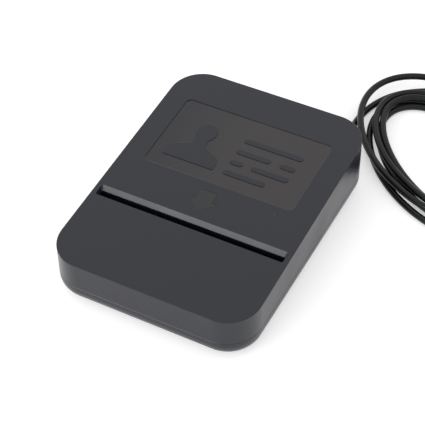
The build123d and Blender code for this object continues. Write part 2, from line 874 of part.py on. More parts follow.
with BuildPart() as lens_holder:
    with BuildSketch(front_view(camera_face, tunnel_mid)):
        Rectangle(holder_size, holder_size)
        Circle(barrel_radius + pilot_play, mode=Mode.SUBTRACT)
    extrude(amount=holder_depth)
lens_holder.part.label = "lens_holder"
export_step(lens_holder.part, "parts/lens_holder.step")

barrel_rear = camera_face - holder_depth + barrel_overlap
barrel_front = barrel_rear - barrel_length
with BuildPart() as lens_barrel:
    with BuildSketch(front_view(barrel_rear, tunnel_mid)):
        Circle(barrel_radius)
        Circle(lens_radius - lens_seat, mode=Mode.SUBTRACT)
    extrude(amount=barrel_length)
    with BuildSketch(front_view(barrel_front, tunnel_mid)):
        Circle(lens_radius + pilot_play)
    extrude(amount=-(lens_thickness + lens_seat), mode=Mode.SUBTRACT)
    chamfer(lens_barrel.faces().sort_by(Axis.Y)[0].edges(), lens_seat / 2)
lens_barrel.part.label = "lens_barrel"
export_step(lens_barrel.part, "parts/lens_barrel.step")

# Front lens: flat behind, bulging forwards
with BuildPart() as lens_glass:
    with BuildSketch(side_view(0)):
        with BuildLine():
            lens_back = barrel_front + lens_thickness + lens_seat
            rim_front = lens_back - lens_rim
            lens_front = lens_back - lens_thickness
            bulge = rim_front - lens_front
            curve = (lens_radius**2 + bulge**2) / (2 * bulge)
            half_way = lens_front + curve - math.sqrt(curve**2 - (lens_radius / 2) ** 2)
            Line((lens_back, tunnel_mid), (lens_back, tunnel_mid + lens_radius))
            Line((lens_back, tunnel_mid + lens_radius), (rim_front, tunnel_mid + lens_radius))
            ThreePointArc(
                (rim_front, tunnel_mid + lens_radius),
                (half_way, tunnel_mid + lens_radius / 2),
                (lens_front, tunnel_mid),
            )
            Line((lens_front, tunnel_mid), (lens_back, tunnel_mid))
        make_face()
    revolve(axis=Axis((0, 0, tunnel_mid), (0, 1, 0)))
lens_glass.part.label = "lens_glass"
export_step(lens_glass.part, "parts/lens_glass.step")

# Lamp boards on either side of the camera, their lamps and the pins to the camera board
led_face = tunnel_rear - rear_plate - board_thickness
for name, side in (("left", -1), ("right", 1)):
    with BuildPart() as led_board:
        with BuildSketch(front_view(tunnel_rear - rear_plate, tunnel_mid)):
            with Locations((side * led_board_x, 0)):
                Rectangle(led_board_width, led_board_height)
        extrude(amount=board_thickness)
    led_board.part.label = f"led_board_{name}"
    export_step(led_board.part, f"parts/led_board_{name}.step")

lamps = []
for side in (-1, 1):
    for x, z in corners(led_board_width / 4, led_board_height / 4):
        with BuildPart() as lamp:
            with BuildSketch(front_view(led_face, tunnel_mid + z, side * led_board_x + x)):
                Rectangle(led_length, led_height)
            extrude(amount=led_thickness)
            with BuildSketch(front_view(led_face - led_thickness, tunnel_mid + z, side * led_board_x + x)):
                Circle(led_lens_radius)
            extrude(amount=-led_lens_depth, mode=Mode.SUBTRACT)
        lamps.append(lamp.part)
write_group(lamps, "leds")

pins = []
for side in (-1, 1):
    for step in (-1, 0, 1):
        with BuildPart() as pin:
            with BuildSketch(front_view(camera_face, tunnel_mid + step * led_pin_pitch, side * slot_x)):
                Circle(led_pin_radius)
            extrude(amount=camera_board_gap + rear_plate)
        pins.append(pin.part)
write_group(pins, "led_pins")

# Antenna board under the card-shaped field, pinned to the tilted ceiling
with BuildPart() as antenna_board:
    with BuildSketch(antenna_plane):
        with Locations((0, antenna_y)):
            RectangleRounded(antenna_width, antenna_depth, board_corner)
        with Locations(*antenna_points):
            Circle(pin_radius + pin_play, mode=Mode.SUBTRACT)
    extrude(amount=-antenna_thickness)
antenna_board.part.label = "antenna_board"
export_step(antenna_board.part, "parts/antenna_board.step")

# Main board and what stands on it
with BuildPart() as main_board:
    with BuildSketch(Plane.XY.offset(main_bottom)):
        with Locations((0, main_y)):
            RectangleRounded(main_width, main_depth, board_corner)
        with Locations(*main_points):
            Circle(small_screw_radius + screw_play, mode=Mode.SUBTRACT)
    extrude(amount=board_thickness)
main_board.part.label = "main_board"
export_step(main_board.part, "parts/main_board.step")

board_screw_length = board_thickness + main_lift - screw_tip_gap
board_screw = screw(small_screw_radius, small_head_radius, board_screw_length, small_head_height)
head_up = [Plane(origin=(x, y, main_top), x_dir=(1, 0, 0), z_dir=(0, 0, -1)) for x, y in main_points]
write_group([board_screw.located(place.location) for place in head_up], "board_screws")


def chip(name, places, length, width, height, bevel=package_bevel):
    """Moulded packages of one kind on the main board, as one node."""
    packages = []
    for x, y in places:
        with BuildPart() as package:
            with BuildSketch(Plane.XY.offset(main_top)):
                with Locations((x, y)):
                    Rectangle(length, width)
            extrude(amount=height)
            chamfer(package.faces().sort_by(Axis.Z)[-1].edges(), bevel)
        packages.append(package.part)
    write_group(packages, name)


# Ribbon sockets: the tall parts stand behind the socket of the camera's ribbon
camera_socket_z = tunnel_mid - camera_board_height / 2 + ribbon_socket_height
camera_socket_face = camera_face + board_thickness + ribbon_socket_depth
main_socket_z = main_top + ribbon_socket_height / 2
main_socket_y = camera_socket_face + 2 * ribbon_bow + ribbon_socket_depth
front_row = main_y + chip_row
tall_row = main_socket_y + ribbon_socket_depth + package_gap + inductor_size / 2

memory_places = [(memory_x, front_row + s * memory_pitch / 2) for s in (-1, 1)]
inductor_places = [(inductor_x + s * inductor_pitch / 2, tall_row) for s in (-1, 1)]
chip("processor", [(processor_x, front_row)], processor_size, processor_size, processor_height)
chip("memory_chips", memory_places, memory_length, memory_width, memory_height)
chip("radio_shield", [(shield_x, front_row)], shield_length, shield_width, shield_height, shield_bevel)
chip("power_inductors", inductor_places, inductor_size, inductor_size, inductor_height, inductor_bevel)
chip("clock_crystal", [(crystal_x, front_row - crystal_shift)], crystal_length, crystal_width, crystal_height)

cans = []
for side in (-1, 1):
    with BuildPart() as can:
        with BuildSketch(Plane.XY.offset(main_top)):
            with Locations((can_x + side * can_pitch / 2, tall_row)):
                Circle(can_radius)
        extrude(amount=can_height)
        fillet(can.faces().sort_by(Axis.Z)[-1].edges(), can_round)
    cans.append(can.part)
write_group(cans, "capacitors")

with BuildPart() as buzzer:
    with BuildSketch(Plane.XY.offset(main_top)):
        with Locations((buzzer_x, main_y + buzzer_row)):
            Circle(buzzer_radius)
    extrude(amount=buzzer_height)
    with BuildSketch(Plane.XY.offset(main_top + buzzer_height)):
        with Locations((buzzer_x, main_y + buzzer_row)):
            Circle(buzzer_hole_radius)
    extrude(amount=-buzzer_hole_depth, mode=Mode.SUBTRACT)
buzzer.part.label = "buzzer"
export_step(buzzer.part, "parts/buzzer.step")

# Ribbon from the camera board to the main board; its bends shrink where the drop is small
camera_bend = min(ribbon_bend, 0.45 * (camera_socket_z - main_socket_z))
with BuildPart() as camera_ribbon:
    with BuildSketch(side_view(0)):
        with BuildLine() as ribbon_line:
            FilletPolyline(
                (camera_socket_face, camera_socket_z),
                (camera_socket_face + ribbon_bow, camera_socket_z),
                (camera_socket_face + ribbon_bow, main_socket_z),
                (main_socket_y, main_socket_z),
                radius=camera_bend,
            )
        trace(ribbon_line.line, ribbon_thickness)
    extrude(amount=ribbon_width / 2, both=True)
camera_ribbon.part.label = "camera_ribbon"
export_step(camera_ribbon.part, "parts/camera_ribbon.step")

# Ribbon from the antenna board to the main board
antenna_edge_y = antenna_y + antenna_depth / 2 - antenna_socket_inset
ribbon_plane = antenna_plane.offset(-antenna_thickness - ribbon_socket_height / 2)
ribbon_start = ribbon_plane.from_local_coords((antenna_ribbon_x, antenna_edge_y, 0)) + Vector(0, ribbon_thickness, 0)
radio_socket_y = main_y + main_depth / 2 - radio_socket_inset
antenna_drop_y = max(antenna_edge_y, radio_socket_y) + 2 * ribbon_bow
with BuildPart() as antenna_ribbon:
    with BuildSketch(side_view(antenna_ribbon_x)):
        with BuildLine() as antenna_line:
            FilletPolyline(
                (ribbon_start.Y, ribbon_start.Z),
                (antenna_drop_y, ribbon_start.Z),
                (antenna_drop_y, main_socket_z),
                (radio_socket_y, main_socket_z),
                radius=ribbon_bend,
            )
        trace(antenna_line.line, ribbon_thickness)
    extrude(amount=antenna_ribbon_width / 2, both=True)
antenna_ribbon.part.label = "antenna_ribbon"
export_step(antenna_ribbon.part, "parts/antenna_ribbon.step")

# Sockets of both ribbons
with BuildPart() as camera_socket:
    with BuildSketch(front_view(camera_face + board_thickness, camera_socket_z)):
        Rectangle(ribbon_width + 2 * ribbon_socket_side, ribbon_socket_height)
    extrude(amount=-ribbon_socket_depth)
with BuildPart() as main_socket:
    with BuildSketch(Plane.XY.offset(main_top)):
        with Locations((0, main_socket_y + ribbon_socket_depth / 2)):
            Rectangle(ribbon_width + 2 * ribbon_socket_side, ribbon_socket_depth)
    extrude(amount=ribbon_socket_height)
with BuildPart() as antenna_socket:
    with BuildSketch(antenna_plane.offset(-antenna_thickness)):
        with Locations((antenna_ribbon_x, antenna_edge_y - ribbon_socket_depth / 2)):
            Rectangle(antenna_ribbon_width + 2 * ribbon_socket_side, ribbon_socket_depth)
    extrude(amount=-ribbon_socket_height)
with BuildPart() as radio_socket:
    with BuildSketch(Plane.XY.offset(main_top)):
        with Locations((antenna_ribbon_x, radio_socket_y - ribbon_socket_depth / 2)):
            Rectangle(antenna_ribbon_width + 2 * ribbon_socket_side, ribbon_socket_depth)
    extrude(amount=ribbon_socket_height)
write_group([camera_socket.part, main_socket.part, antenna_socket.part, radio_socket.part], "ribbon_sockets")

# Sensing lever: finger in the pocket, hub on its pin, blade in the light gate
finger_y = lever_reach * math.sin(lean)
finger_z = lever_reach * math.cos(lean)
with BuildPart() as document_lever:
    with BuildSketch(side_view(lever_x)):
        with BuildLine() as finger_line:
            Line((pivot_y, pivot_z), (pivot_y + finger_y, pivot_z - finger_z))
        trace(finger_line.line, lever_thickness)
        with Locations((pivot_y + finger_y, pivot_z - finger_z)):
            Circle(lever_thickness / 2)
        with Locations((pivot_y, pivot_z)):
            Circle(lever_hub_radius)
    extrude(amount=lever_width / 2, both=True)
    with BuildSketch(side_view(lever_x)):
        with BuildLine():
            Polyline(
                (pivot_y, pivot_z + lever_thickness),
                (pivot_y - blade_length, pivot_z + lever_thickness),
                (pivot_y - blade_length, pivot_z - blade_depth),
                (pivot_y - blade_length / 2, pivot_z - blade_depth),
                (pivot_y - blade_length / 2 + lever_thickness, pivot_z - lever_thickness),
                (pivot_y, pivot_z - lever_thickness),
                close=True,
            )
        make_face()
    extrude(amount=blade_thickness / 2, both=True)
    with BuildSketch(side_view(lever_x)):
        with Locations((pivot_y, pivot_z)):
            Circle(lever_pin_radius + lever_pin_play)
    extrude(amount=lever_width, both=True, mode=Mode.SUBTRACT)
document_lever.part.label = "document_lever"
export_step(document_lever.part, "parts/document_lever.step")

with BuildPart() as lever_pin:
    with BuildSketch(side_view(lever_x)):
        with Locations((pivot_y, pivot_z)):
            Circle(lever_pin_radius)
    extrude(amount=lever_width / 2 + ear_gap + lever_ear_width + ear_gap, both=True)
lever_pin.part.label = "lever_pin"
export_step(lever_pin.part, "parts/lever_pin.step")

# Light gate on its own small board on the shelf
gate_y = pivot_y - blade_length + gate_depth / 2
with BuildPart() as sensor_board:
    with BuildSketch(Plane.XY.offset(shelf_top)):
        with Locations((shelf_x, (shelf_front + pivot_y) / 2)):
            Rectangle(shelf_width, pivot_y - shelf_front)
    extrude(amount=antenna_thickness)
sensor_board.part.label = "sensor_board"
export_step(sensor_board.part, "parts/sensor_board.step")

with BuildPart() as light_gate:
    with BuildSketch(front_view(gate_y)):
        with Locations((lever_x, shelf_top + antenna_thickness + gate_height / 2)):
            Rectangle(gate_width, gate_height)
        with Locations((lever_x, shelf_top + antenna_thickness + gate_base + gate_height / 2)):
            Rectangle(gate_gap, gate_height, mode=Mode.SUBTRACT)
    extrude(amount=gate_depth / 2, both=True)
light_gate.part.label = "light_gate"
export_step(light_gate.part, "parts/light_gate.step")


def tube(points, radius, bends):
    """Round tube along straight runs joined by tangent arcs, with its length."""
    with BuildLine() as route:
        FilletPolyline(*points, radius=bends)
    with BuildPart() as solid:
        with BuildSketch(Plane(origin=points[0], z_dir=Vector(*points[1]) - Vector(*points[0]))):
            Circle(radius)
        sweep(path=route.wire())
    return solid.part, route.wire().length


# Leads of the light gate, along the floor to the main board
lead_z = shelf_top + antenna_thickness + ribbon_socket_height / 2
floor_z = floor_top + lead_radius + lead_gap
gate_socket_y = shelf_front + gate_socket_inset
socket_front = main_y - main_depth / 2 + lead_socket_inset
leads = []
for step in (-1, 0, 1):
    from_x = gate_socket_x + step * lead_pitch
    to_x = sensor_socket_x + step * lead_pitch
    route = [
        (from_x, gate_socket_y, lead_z),
        (from_x, shelf_front - lead_run, lead_z),
        (from_x, shelf_front - lead_run, floor_z),
        (from_x, guide_front_face, floor_z),
        (to_x, socket_front - 2 * lead_climb, floor_z),
        (to_x, socket_front - lead_climb, main_socket_z),
        (to_x, socket_front, main_socket_z),
    ]
    leads.append(tube(route, lead_radius, lead_bend)[0])
write_group(leads, "sensor_leads")

with BuildPart() as sensor_socket:
    with BuildSketch(Plane.XY.offset(main_top)):
        with Locations((sensor_socket_x, socket_front + ribbon_socket_depth / 2)):
            Rectangle(lead_socket_width, ribbon_socket_depth)
    extrude(amount=ribbon_socket_height)
with BuildPart() as gate_socket:
    with BuildSketch(Plane.XY.offset(shelf_top + antenna_thickness)):
        with Locations((gate_socket_x, gate_socket_y + ribbon_socket_depth / 2)):
            Rectangle(lead_socket_width, ribbon_socket_depth)
    extrude(amount=ribbon_socket_height)
write_group([sensor_socket.part, gate_socket.part], "lead_sockets")

# Cable boot: flange inside, neck through the seam, ribbed sleeve outside
boot_root = rear_y + boot_collar
boot_tip = boot_root + boot_length
flange_rear = inner_half_depth - boot_flange_gap
with BuildPart() as cable_boot:
    with BuildSketch(Plane(origin=(exit_x, 0, parting), x_dir=(0, 1, 0), z_dir=(1, 0, 0))):
        with BuildLine():
            Polyline(
                (flange_rear - boot_flange, cable_radius + clamp_play),
                (flange_rear - boot_flange, boot_flange_radius),
                (flange_rear, boot_flange_radius),
                (flange_rear, boot_neck_radius),
                (rear_y, boot_neck_radius),
                (rear_y, boot_collar_radius),
                (boot_root, boot_collar_radius),
                (boot_root, boot_neck_radius),
                (boot_tip, boot_tip_radius),
                (boot_tip, cable_radius + clamp_play),
                close=True,
            )
        make_face()
        groove_step = boot_length / (boot_grooves + 1)
        for groove in range(boot_grooves):
            along = (groove + 1) * groove_step
            surface = boot_neck_radius - (boot_neck_radius - boot_tip_radius) * along / boot_length
            with Locations((boot_root + along, surface)):
                Rectangle(groove_step / 2, boot_groove_depth * 2, mode=Mode.SUBTRACT)
    revolve(axis=Axis((exit_x, 0, parting), (0, 1, 0)))
cable_boot.part.label = "cable_boot"
export_step(cable_boot.part, "parts/cable_boot.step")

# Inner end of the cable, its clamp, its four cores and their plug
with BuildPart() as inner_cable:
    with BuildSketch(front_view(boot_tip, parting, exit_x)):
        Circle(cable_radius)
    extrude(amount=boot_tip - clamp_y + clamp_depth)
inner_cable.part.label = "inner_cable"
export_step(inner_cable.part, "parts/inner_cable.step")

with BuildPart() as cable_clamp:
    with BuildSketch(Plane.XY.offset(parting)):
        with Locations((clamp_mid, clamp_y)):
            Rectangle(clamp_left + clamp_right, clamp_depth)
    extrude(amount=cable_radius + clamp_skin)
    fillet(cable_clamp.edges().filter_by(Axis.Z), clamp_corner)
    with BuildSketch(front_view(clamp_y, parting, exit_x)):
        Circle(cable_radius + clamp_play)
    extrude(amount=clamp_depth, both=True, mode=Mode.SUBTRACT)
    with Locations((clamp_screw_x, clamp_y, parting)):
        Cylinder(small_screw_radius + screw_play, 4 * (clamp_skin + cable_radius), mode=Mode.SUBTRACT)
cable_clamp.part.label = "cable_clamp"
export_step(cable_clamp.part, "parts/cable_clamp.step")

clamp_top = parting + cable_radius + clamp_skin
clamp_screw = screw(small_screw_radius, small_head_radius, clamp_top - parting + clamp_thread, small_head_height)
clamp_seat = Plane(origin=(clamp_screw_x, clamp_y, clamp_top), x_dir=(1, 0, 0), z_dir=(0, 0, -1))
write_group([clamp_screw.located(clamp_seat.location)], "clamp_screw")

core_start = clamp_y - clamp_depth
header_y = main_y + main_depth / 2 - header_inset
cores = []
for step in (-1.5, -0.5, 0.5, 1.5):
    x_from = exit_x + step * core_pitch
    x_to = header_x + step * header_pitch
    route = [
        (x_from, core_start, parting),
        (x_from, core_start - core_run, parting),
        (x_to, header_y + header_depth + core_run, main_top + header_height / 2),
        (x_to, header_y + header_depth, main_top + header_height / 2),
    ]
    cores.append(tube(route, core_radius, core_bend)[0])
write_group(cores, "cable_cores")

with BuildPart() as header_plug:
    with BuildSketch(Plane.XY.offset(main_top)):
        with Locations((header_x, header_y + header_depth / 2)):
            Rectangle(4 * header_pitch + 2 * header_side, header_depth)
    extrude(amount=header_height)
    chamfer(header_plug.faces().sort_by(Axis.Z)[-1].edges(), header_bevel)
header_plug.part.label = "header_plug"
export_step(header_plug.part, "parts/header_plug.step")

# Free cable: coil on the table, the stretch that leads to it and the tail with the plug
cable_z = cable_radius + table_gap
layer_end = coil_turns / 2


def coil_point(turn):
    """Point of the coil: a shrinking oval, then a growing one on top, wound clockwise."""
    angle = math.radians(coil_start) - 2 * math.pi * turn
    inset = coil_pitch * min(turn, coil_turns - turn)
    climb = min(max(2 * (turn - layer_end) + 0.5, 0.0), 1.0)
    climb = climb * climb * (3 - 2 * climb)
    along = (coil_long - inset) * math.cos(angle)
    across = (coil_short - inset) * math.sin(angle)
    turned = math.radians(coil_heading)
    return Vector(
        coil_x + along * math.cos(turned) - across * math.sin(turned) + coil_drift_x * turn + coil_shift_x * climb,
        coil_y + along * math.sin(turned) + across * math.cos(turned) + coil_drift_y * turn + coil_shift_y * climb,
        cable_z + coil_rise * climb,
    )


def coil_direction(turn):
    """Unit direction of the coil at a turn."""
    small = 1e-4
    low = max(turn - small, 0.0)
    high = min(turn + small, coil_turns)
    return (coil_point(high) - coil_point(low)).normalized()


def biarc(start, start_way, end, end_way):
    """Meeting point of the two arcs that join two points along their directions."""
    span = end - start
    ways = start_way + end_way
    spread = 2 * (1 - start_way.dot(end_way))
    reach = (-span.dot(ways) + math.sqrt(span.dot(ways) ** 2 + spread * span.dot(span))) / spread
    return (start + start_way * reach + end - end_way * reach) * 0.5


coil_in = coil_point(0) - coil_direction(0) * 2 * cable_radius
coil_out = coil_point(coil_turns) + coil_direction(coil_turns) * 2 * cable_radius
quarters = round(4 * coil_turns)
with BuildLine() as coil_route:
    Line(coil_in, coil_point(0))
    for quarter in range(quarters):
        here, there = (coil_turns * (quarter + k) / quarters for k in (0, 1))
        start, end = coil_point(here), coil_point(there)
        middle = biarc(start, coil_direction(here), end, coil_direction(there))
        first = TangentArc(start, middle, tangent=coil_direction(here))
        TangentArc(middle, end, tangent=first % 1)
    Line(coil_point(coil_turns), coil_out)
with BuildPart() as cable_coil:
    with BuildSketch(Plane(origin=coil_in, z_dir=coil_direction(0))):
        Circle(cable_radius)
    sweep(path=coil_route.wire())
cable_coil.part.label = "cable_coil"
export_step(cable_coil.part, "parts/cable_coil.step")

# The cable's own route, point by point, and the size of each bend
lead_in = coil_in - coil_direction(0) * 10.0
cable_route = [
    (exit_x, boot_tip, parting),
    (exit_x, boot_tip + 10.0, parting),
    (exit_x, boot_tip + 23.5, cable_z + 1.85),
    (44.0, 143.0, cable_z),
    (48.5, 160.0, cable_z),
    (59.5, 176.0, cable_z),
    (77.0, 186.5, cable_z),
    tuple(lead_in),
    tuple(coil_in),
]
plug_way = Vector(math.cos(math.radians(plug_heading)), math.sin(math.radians(plug_heading)), 0)
plug_back = Vector(plug_x, plug_y, plug_height / 2 + table_gap)
tail_route = [
    tuple(coil_out),
    tuple(coil_out + coil_direction(coil_turns) * 12.0),
    (129.5, 200.5, 5.2),
    tuple(plug_back - plug_way * 16.0),
    tuple(plug_back),
]


def bend_radii(points):
    """Each arc takes 0.45 of its shorter run."""
    radii = []
    for before, here, after in zip(points, points[1:], points[2:]):
        run_in = Vector(*here) - Vector(*before)
        run_out = Vector(*after) - Vector(*here)
        half_turn = math.radians(run_in.get_angle(run_out)) / 2
        radii.append(0.45 * min(run_in.length, run_out.length) / math.tan(half_turn))
    return radii


for name, points in (("cable", cable_route), ("cable_tail", tail_route)):
    radii = bend_radii(points)
    stretch, length = tube(points, cable_radius, radii)
    stretch.label = name
    export_step(stretch, f"parts/{name}.step")
    print(name, "bend radii", [round(radius, 1) for radius in radii])
    print(name, "length", round(length, 1), "volume ratio", stretch.volume / (math.pi * cable_radius**2 * length))

# Least gap of the coil to itself and to the two stretches, on points along them
coil_wire = coil_route.wire()
steps = 900
coil_samples = [coil_wire.position_at(k / steps) for k in range(steps + 1)]
spacing = coil_wire.length / steps
apart = int(60.0 / spacing)
least = min(
    (coil_samples[i] - coil_samples[j]).length
    for i in range(0, steps + 1, 3)
    for j in range(i + apart, steps + 1)
)
print("coil length", round(coil_wire.length, 1), "least gap", round(least - 2 * cable_radius, 2))
print("coil volume ratio", cable_coil.part.volume / (math.pi * cable_radius**2 * coil_wire.length))

# USB plug at the cable's end
plug_plane = Plane(origin=plug_back, x_dir=(-plug_way.Y, plug_way.X, 0), z_dir=plug_way)
with BuildPart() as plug_grip:
    with BuildSketch(plug_plane):
        Circle(plug_root_radius)
    with BuildSketch(plug_plane.offset(plug_neck)):
        Circle(plug_neck_radius)
    loft()
    with BuildSketch(plug_plane.offset(plug_neck)):
        RectangleRounded(plug_width, plug_height, plug_round)
    extrude(amount=plug_length)
plug_grip.part.label = "plug_grip"
export_step(plug_grip.part, "parts/plug_grip.step")

with BuildPart() as plug_shell:
    with BuildSketch(plug_plane.offset(plug_neck + plug_length)):
        Rectangle(shell_width, shell_height)
        Rectangle(shell_width - 2 * shell_skin, shell_height - 2 * shell_skin, mode=Mode.SUBTRACT)
    extrude(amount=shell_length)
    hole_centre = plug_back + plug_way * (plug_neck + plug_length + shell_length - shell_hole_setback)
    with BuildSketch(Plane(origin=hole_centre, x_dir=plug_way, z_dir=(0, 0, 1))):
        with Locations((0, -shell_width / 4), (0, shell_width / 4)):
            Rectangle(shell_hole_width, shell_hole_length)
    extrude(amount=shell_height, both=True, mode=Mode.SUBTRACT)
plug_shell.part.label = "plug_shell"
export_step(plug_shell.part, "parts/plug_shell.step")

with BuildPart() as plug_tongue:
    with BuildSketch(plug_plane.offset(plug_neck + plug_length)):
        with Locations((0, shell_height / 2 - shell_skin - tongue_thickness / 2)):
            Rectangle(shell_width - 2 * (shell_skin + tongue_gap), tongue_thickness)
    extrude(amount=shell_length - tongue_setback)
plug_tongue.part.label = "plug_tongue"
export_step(plug_tongue.part, "parts/plug_tongue.step")
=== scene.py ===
# %% [markdown]
# A desktop reader for identity documents, dressed for its picture.
# The solids of the case, the optics and the boards are exact already, so they come in as a
# fixed frame. What is left is what the eye judges: the free cable, the card symbol on the top
# face, small trim, and a finish for every piece. Lengths are in metres, except where a comment
# or a name says millimetres.

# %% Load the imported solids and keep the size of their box
import math

import bpy
import numpy as np
from mathutils import Matrix, Vector


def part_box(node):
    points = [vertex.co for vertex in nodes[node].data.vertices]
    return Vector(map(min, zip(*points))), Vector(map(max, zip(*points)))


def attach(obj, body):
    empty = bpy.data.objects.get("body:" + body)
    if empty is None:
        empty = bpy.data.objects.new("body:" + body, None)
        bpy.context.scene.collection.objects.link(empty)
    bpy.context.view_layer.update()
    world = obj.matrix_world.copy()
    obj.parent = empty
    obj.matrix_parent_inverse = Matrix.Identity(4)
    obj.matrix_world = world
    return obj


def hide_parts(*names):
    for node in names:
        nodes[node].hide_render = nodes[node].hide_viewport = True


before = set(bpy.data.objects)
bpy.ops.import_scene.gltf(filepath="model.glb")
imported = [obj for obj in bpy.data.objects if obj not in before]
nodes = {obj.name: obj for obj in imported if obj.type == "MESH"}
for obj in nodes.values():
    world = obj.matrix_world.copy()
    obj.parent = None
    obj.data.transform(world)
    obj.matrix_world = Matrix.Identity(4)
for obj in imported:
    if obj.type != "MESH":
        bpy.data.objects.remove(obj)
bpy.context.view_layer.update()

mm_per_metre = 1000.0

# %% [markdown]
# The camera comes first. A picture of a box shows three families of parallel edges, and from
# their directions the lens, the turn, the tilt and the distance follow. A camera set by eye would
# never quite fit, so the numbers are worked out once and written here. The camera stands
# 28 degrees to the right of the front, looks down at 45 degrees, and has a long lens, so the far
# edges are hardly shorter than the near ones.

# %% Camera from turn, tilt, roll, distance and focal length
turn, tilt, roll = (math.radians(a) for a in (28.3127, 45.4535, 1.02726))
middle_of_top = Vector((0.0, 0.0, 0.039879))
# Seen from the camera, the middle of the top lies this far to the right, down and ahead.
offset = Vector((0.00071526, -0.01563972, 0.889979))
focal_pixels, picture_pixels = 1389.105, 425
film_width_mm = 36.0

back = Vector((math.sin(turn) * math.cos(tilt), -math.cos(turn) * math.cos(tilt), math.sin(tilt)))
level_right = (-back).cross(Vector((0, 0, 1))).normalized()
level_down = (-back).cross(level_right)
right = math.cos(roll) * level_right + math.sin(roll) * level_down
down = math.cos(roll) * level_down - math.sin(roll) * level_right
place = middle_of_top - (right * offset.x + down * offset.y - back * offset.z)

bpy.context.scene.view_settings.view_transform = "Standard"
lens = bpy.data.cameras.new("camera")
lens.sensor_width = film_width_mm
lens.lens = film_width_mm * focal_pixels / picture_pixels
lens.clip_start, lens.clip_end = 0.05, 50.0
camera = bpy.data.objects.new("camera", lens)
camera.matrix_world = Matrix((
    (right.x, -down.x, back.x, place.x),
    (right.y, -down.y, back.y, place.y),
    (right.z, -down.z, back.z, place.z),
    (0, 0, 0, 1),
))
bpy.context.scene.collection.objects.link(camera)
bpy.context.scene.camera = camera
print("camera at", [round(v, 3) for v in place], "lens", round(lens.lens, 1), "mm")

# %% [markdown]
# The free cable is one flexible line: out of its boot, down to the table, into a loose coil
# beside the case, and on to its plug. Separate tubes would show a seam wherever they meet, while
# one NURBS line with well spread control points bends like a real jacket and has none. The coil
# is an oval that shrinks turn by turn and then grows again one layer up, so its points follow a
# formula in the same line.

# %% Coil of the cable as a formula
cable_radius, table_gap = 0.0024, 0.0001
rest_height = cable_radius + table_gap
coil_turns = 5.0
coil_centre = (0.1152, 0.1262)
coil_half_length, coil_half_width = 0.0835, 0.0555
coil_heading, coil_start = math.radians(-38.0), math.radians(130.0)
first_inset, next_inset = 0.013, 0.0052
climb_middle, climb_turns, layer_rise = 2.6, 0.4, 0.0054
layer_shift, last_slip = (-0.0026, 0.0042), (-0.0030, 0.0062)


def coil_points(turns):
    """Points of an oval that runs clockwise: half its length times the cosine and half its width
    times the sine of the angle, turned by the coil's heading. Both halves shrink by the first
    inset over one turn and by the next inset over each further turn until half way, and grow again
    in the same steps. Just after half way the line climbs by the layer's rise, on a smooth step,
    and moves aside by the layer's shift. Over the last turn it slips back and to the left."""
    turns = np.asarray(turns, float)
    angle = coil_start - 2 * np.pi * turns
    inward = np.minimum(turns, coil_turns - turns)
    inset = first_inset * np.minimum(inward, 1) + next_inset * np.maximum(inward - 1, 0)
    climb = np.clip((turns - climb_middle) / climb_turns + 0.5, 0, 1)
    climb = climb * climb * (3 - 2 * climb)
    slip = np.maximum(turns - (coil_turns - 1), 0)
    along = (coil_half_length - inset) * np.cos(angle)
    across = (coil_half_width - inset) * np.sin(angle)
    x = along * math.cos(coil_heading) - across * math.sin(coil_heading)
    y = along * math.sin(coil_heading) + across * math.cos(coil_heading)
    return np.column_stack((
        coil_centre[0] + x + layer_shift[0] * climb + last_slip[0] * slip,
        coil_centre[1] + y + layer_shift[1] * climb + last_slip[1] * slip,
        rest_height + layer_rise * climb,
    ))


def unit(vector):
    """The vector divided by its length."""
    return vector / np.linalg.norm(vector)


small_turn = 1e-4
start_way = unit(coil_points(small_turn) - coil_points(0.0))[0]
end_way = unit(coil_points(coil_turns) - coil_points(coil_turns - small_turn))[0]
coil_in = coil_points(0.0)[0] - start_way * 2 * cable_radius
coil_out = coil_points(coil_turns)[0] + end_way * 2 * cable_radius
print("coil starts", np.round(coil_in, 4), "and ends", np.round(coil_out, 4))

# %% Control points from the boot to the plug
boot_tip = (0.043, 0.107, 0.015)
plug_heading = math.radians(8.0)
plug_way = np.array((math.cos(plug_heading), math.sin(plug_heading), 0.0))
plug_back = np.array((0.165, 0.209, 0.0041))
straight_in, straight_out, straight_to_plug = 0.010, 0.012, 0.016
points_per_turn = 24
cable_line = np.vstack((
    boot_tip,
    (0.043, 0.117, 0.015),
    (0.042, 0.1295, rest_height + 0.001),
    (0.041, 0.143, rest_height),
    (0.0445, 0.1615, rest_height),
    (0.055, 0.180, rest_height),
    (0.074, 0.1935, rest_height),
    coil_in - start_way * straight_in,
    coil_in,
    coil_points(np.arange(int(coil_turns) * points_per_turn + 1) / points_per_turn),
    coil_out,
    coil_out + end_way * straight_out,
    (0.1295, 0.2025, 0.0052),
    plug_back - plug_way * straight_to_plug,
    plug_back,
))
print("cable points", len(cable_line))

# %% One NURBS line for the whole cable
cable_curve = bpy.data.curves.new("free_cable", "CURVE")
cable_curve.dimensions = "3D"
cable_curve.bevel_resolution = 5
cable_curve.use_fill_caps = True
spline = cable_curve.splines.new("NURBS")
spline.points.add(len(cable_line) - 1)
spline.points.foreach_set("co", np.column_stack((cable_line, np.ones(len(cable_line)))).ravel())
# A curve's bounds grow by the radius of its points, so the points carry the cable's own radius
# and the bevel is 1.
cable_curve.bevel_depth = 1.0
spline.points.foreach_set("radius", np.full(len(cable_line), cable_radius))
spline.order_u = 3
spline.use_endpoint_u = True
spline.resolution_u = 5
free_cable = bpy.data.objects.new("free_cable", cable_curve)
bpy.context.scene.collection.objects.link(free_cable)
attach(free_cable, "reader")
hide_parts("cable", "cable_coil", "cable_tail")
print("cable", round(2 * cable_radius * mm_per_metre, 1), "mm thick")

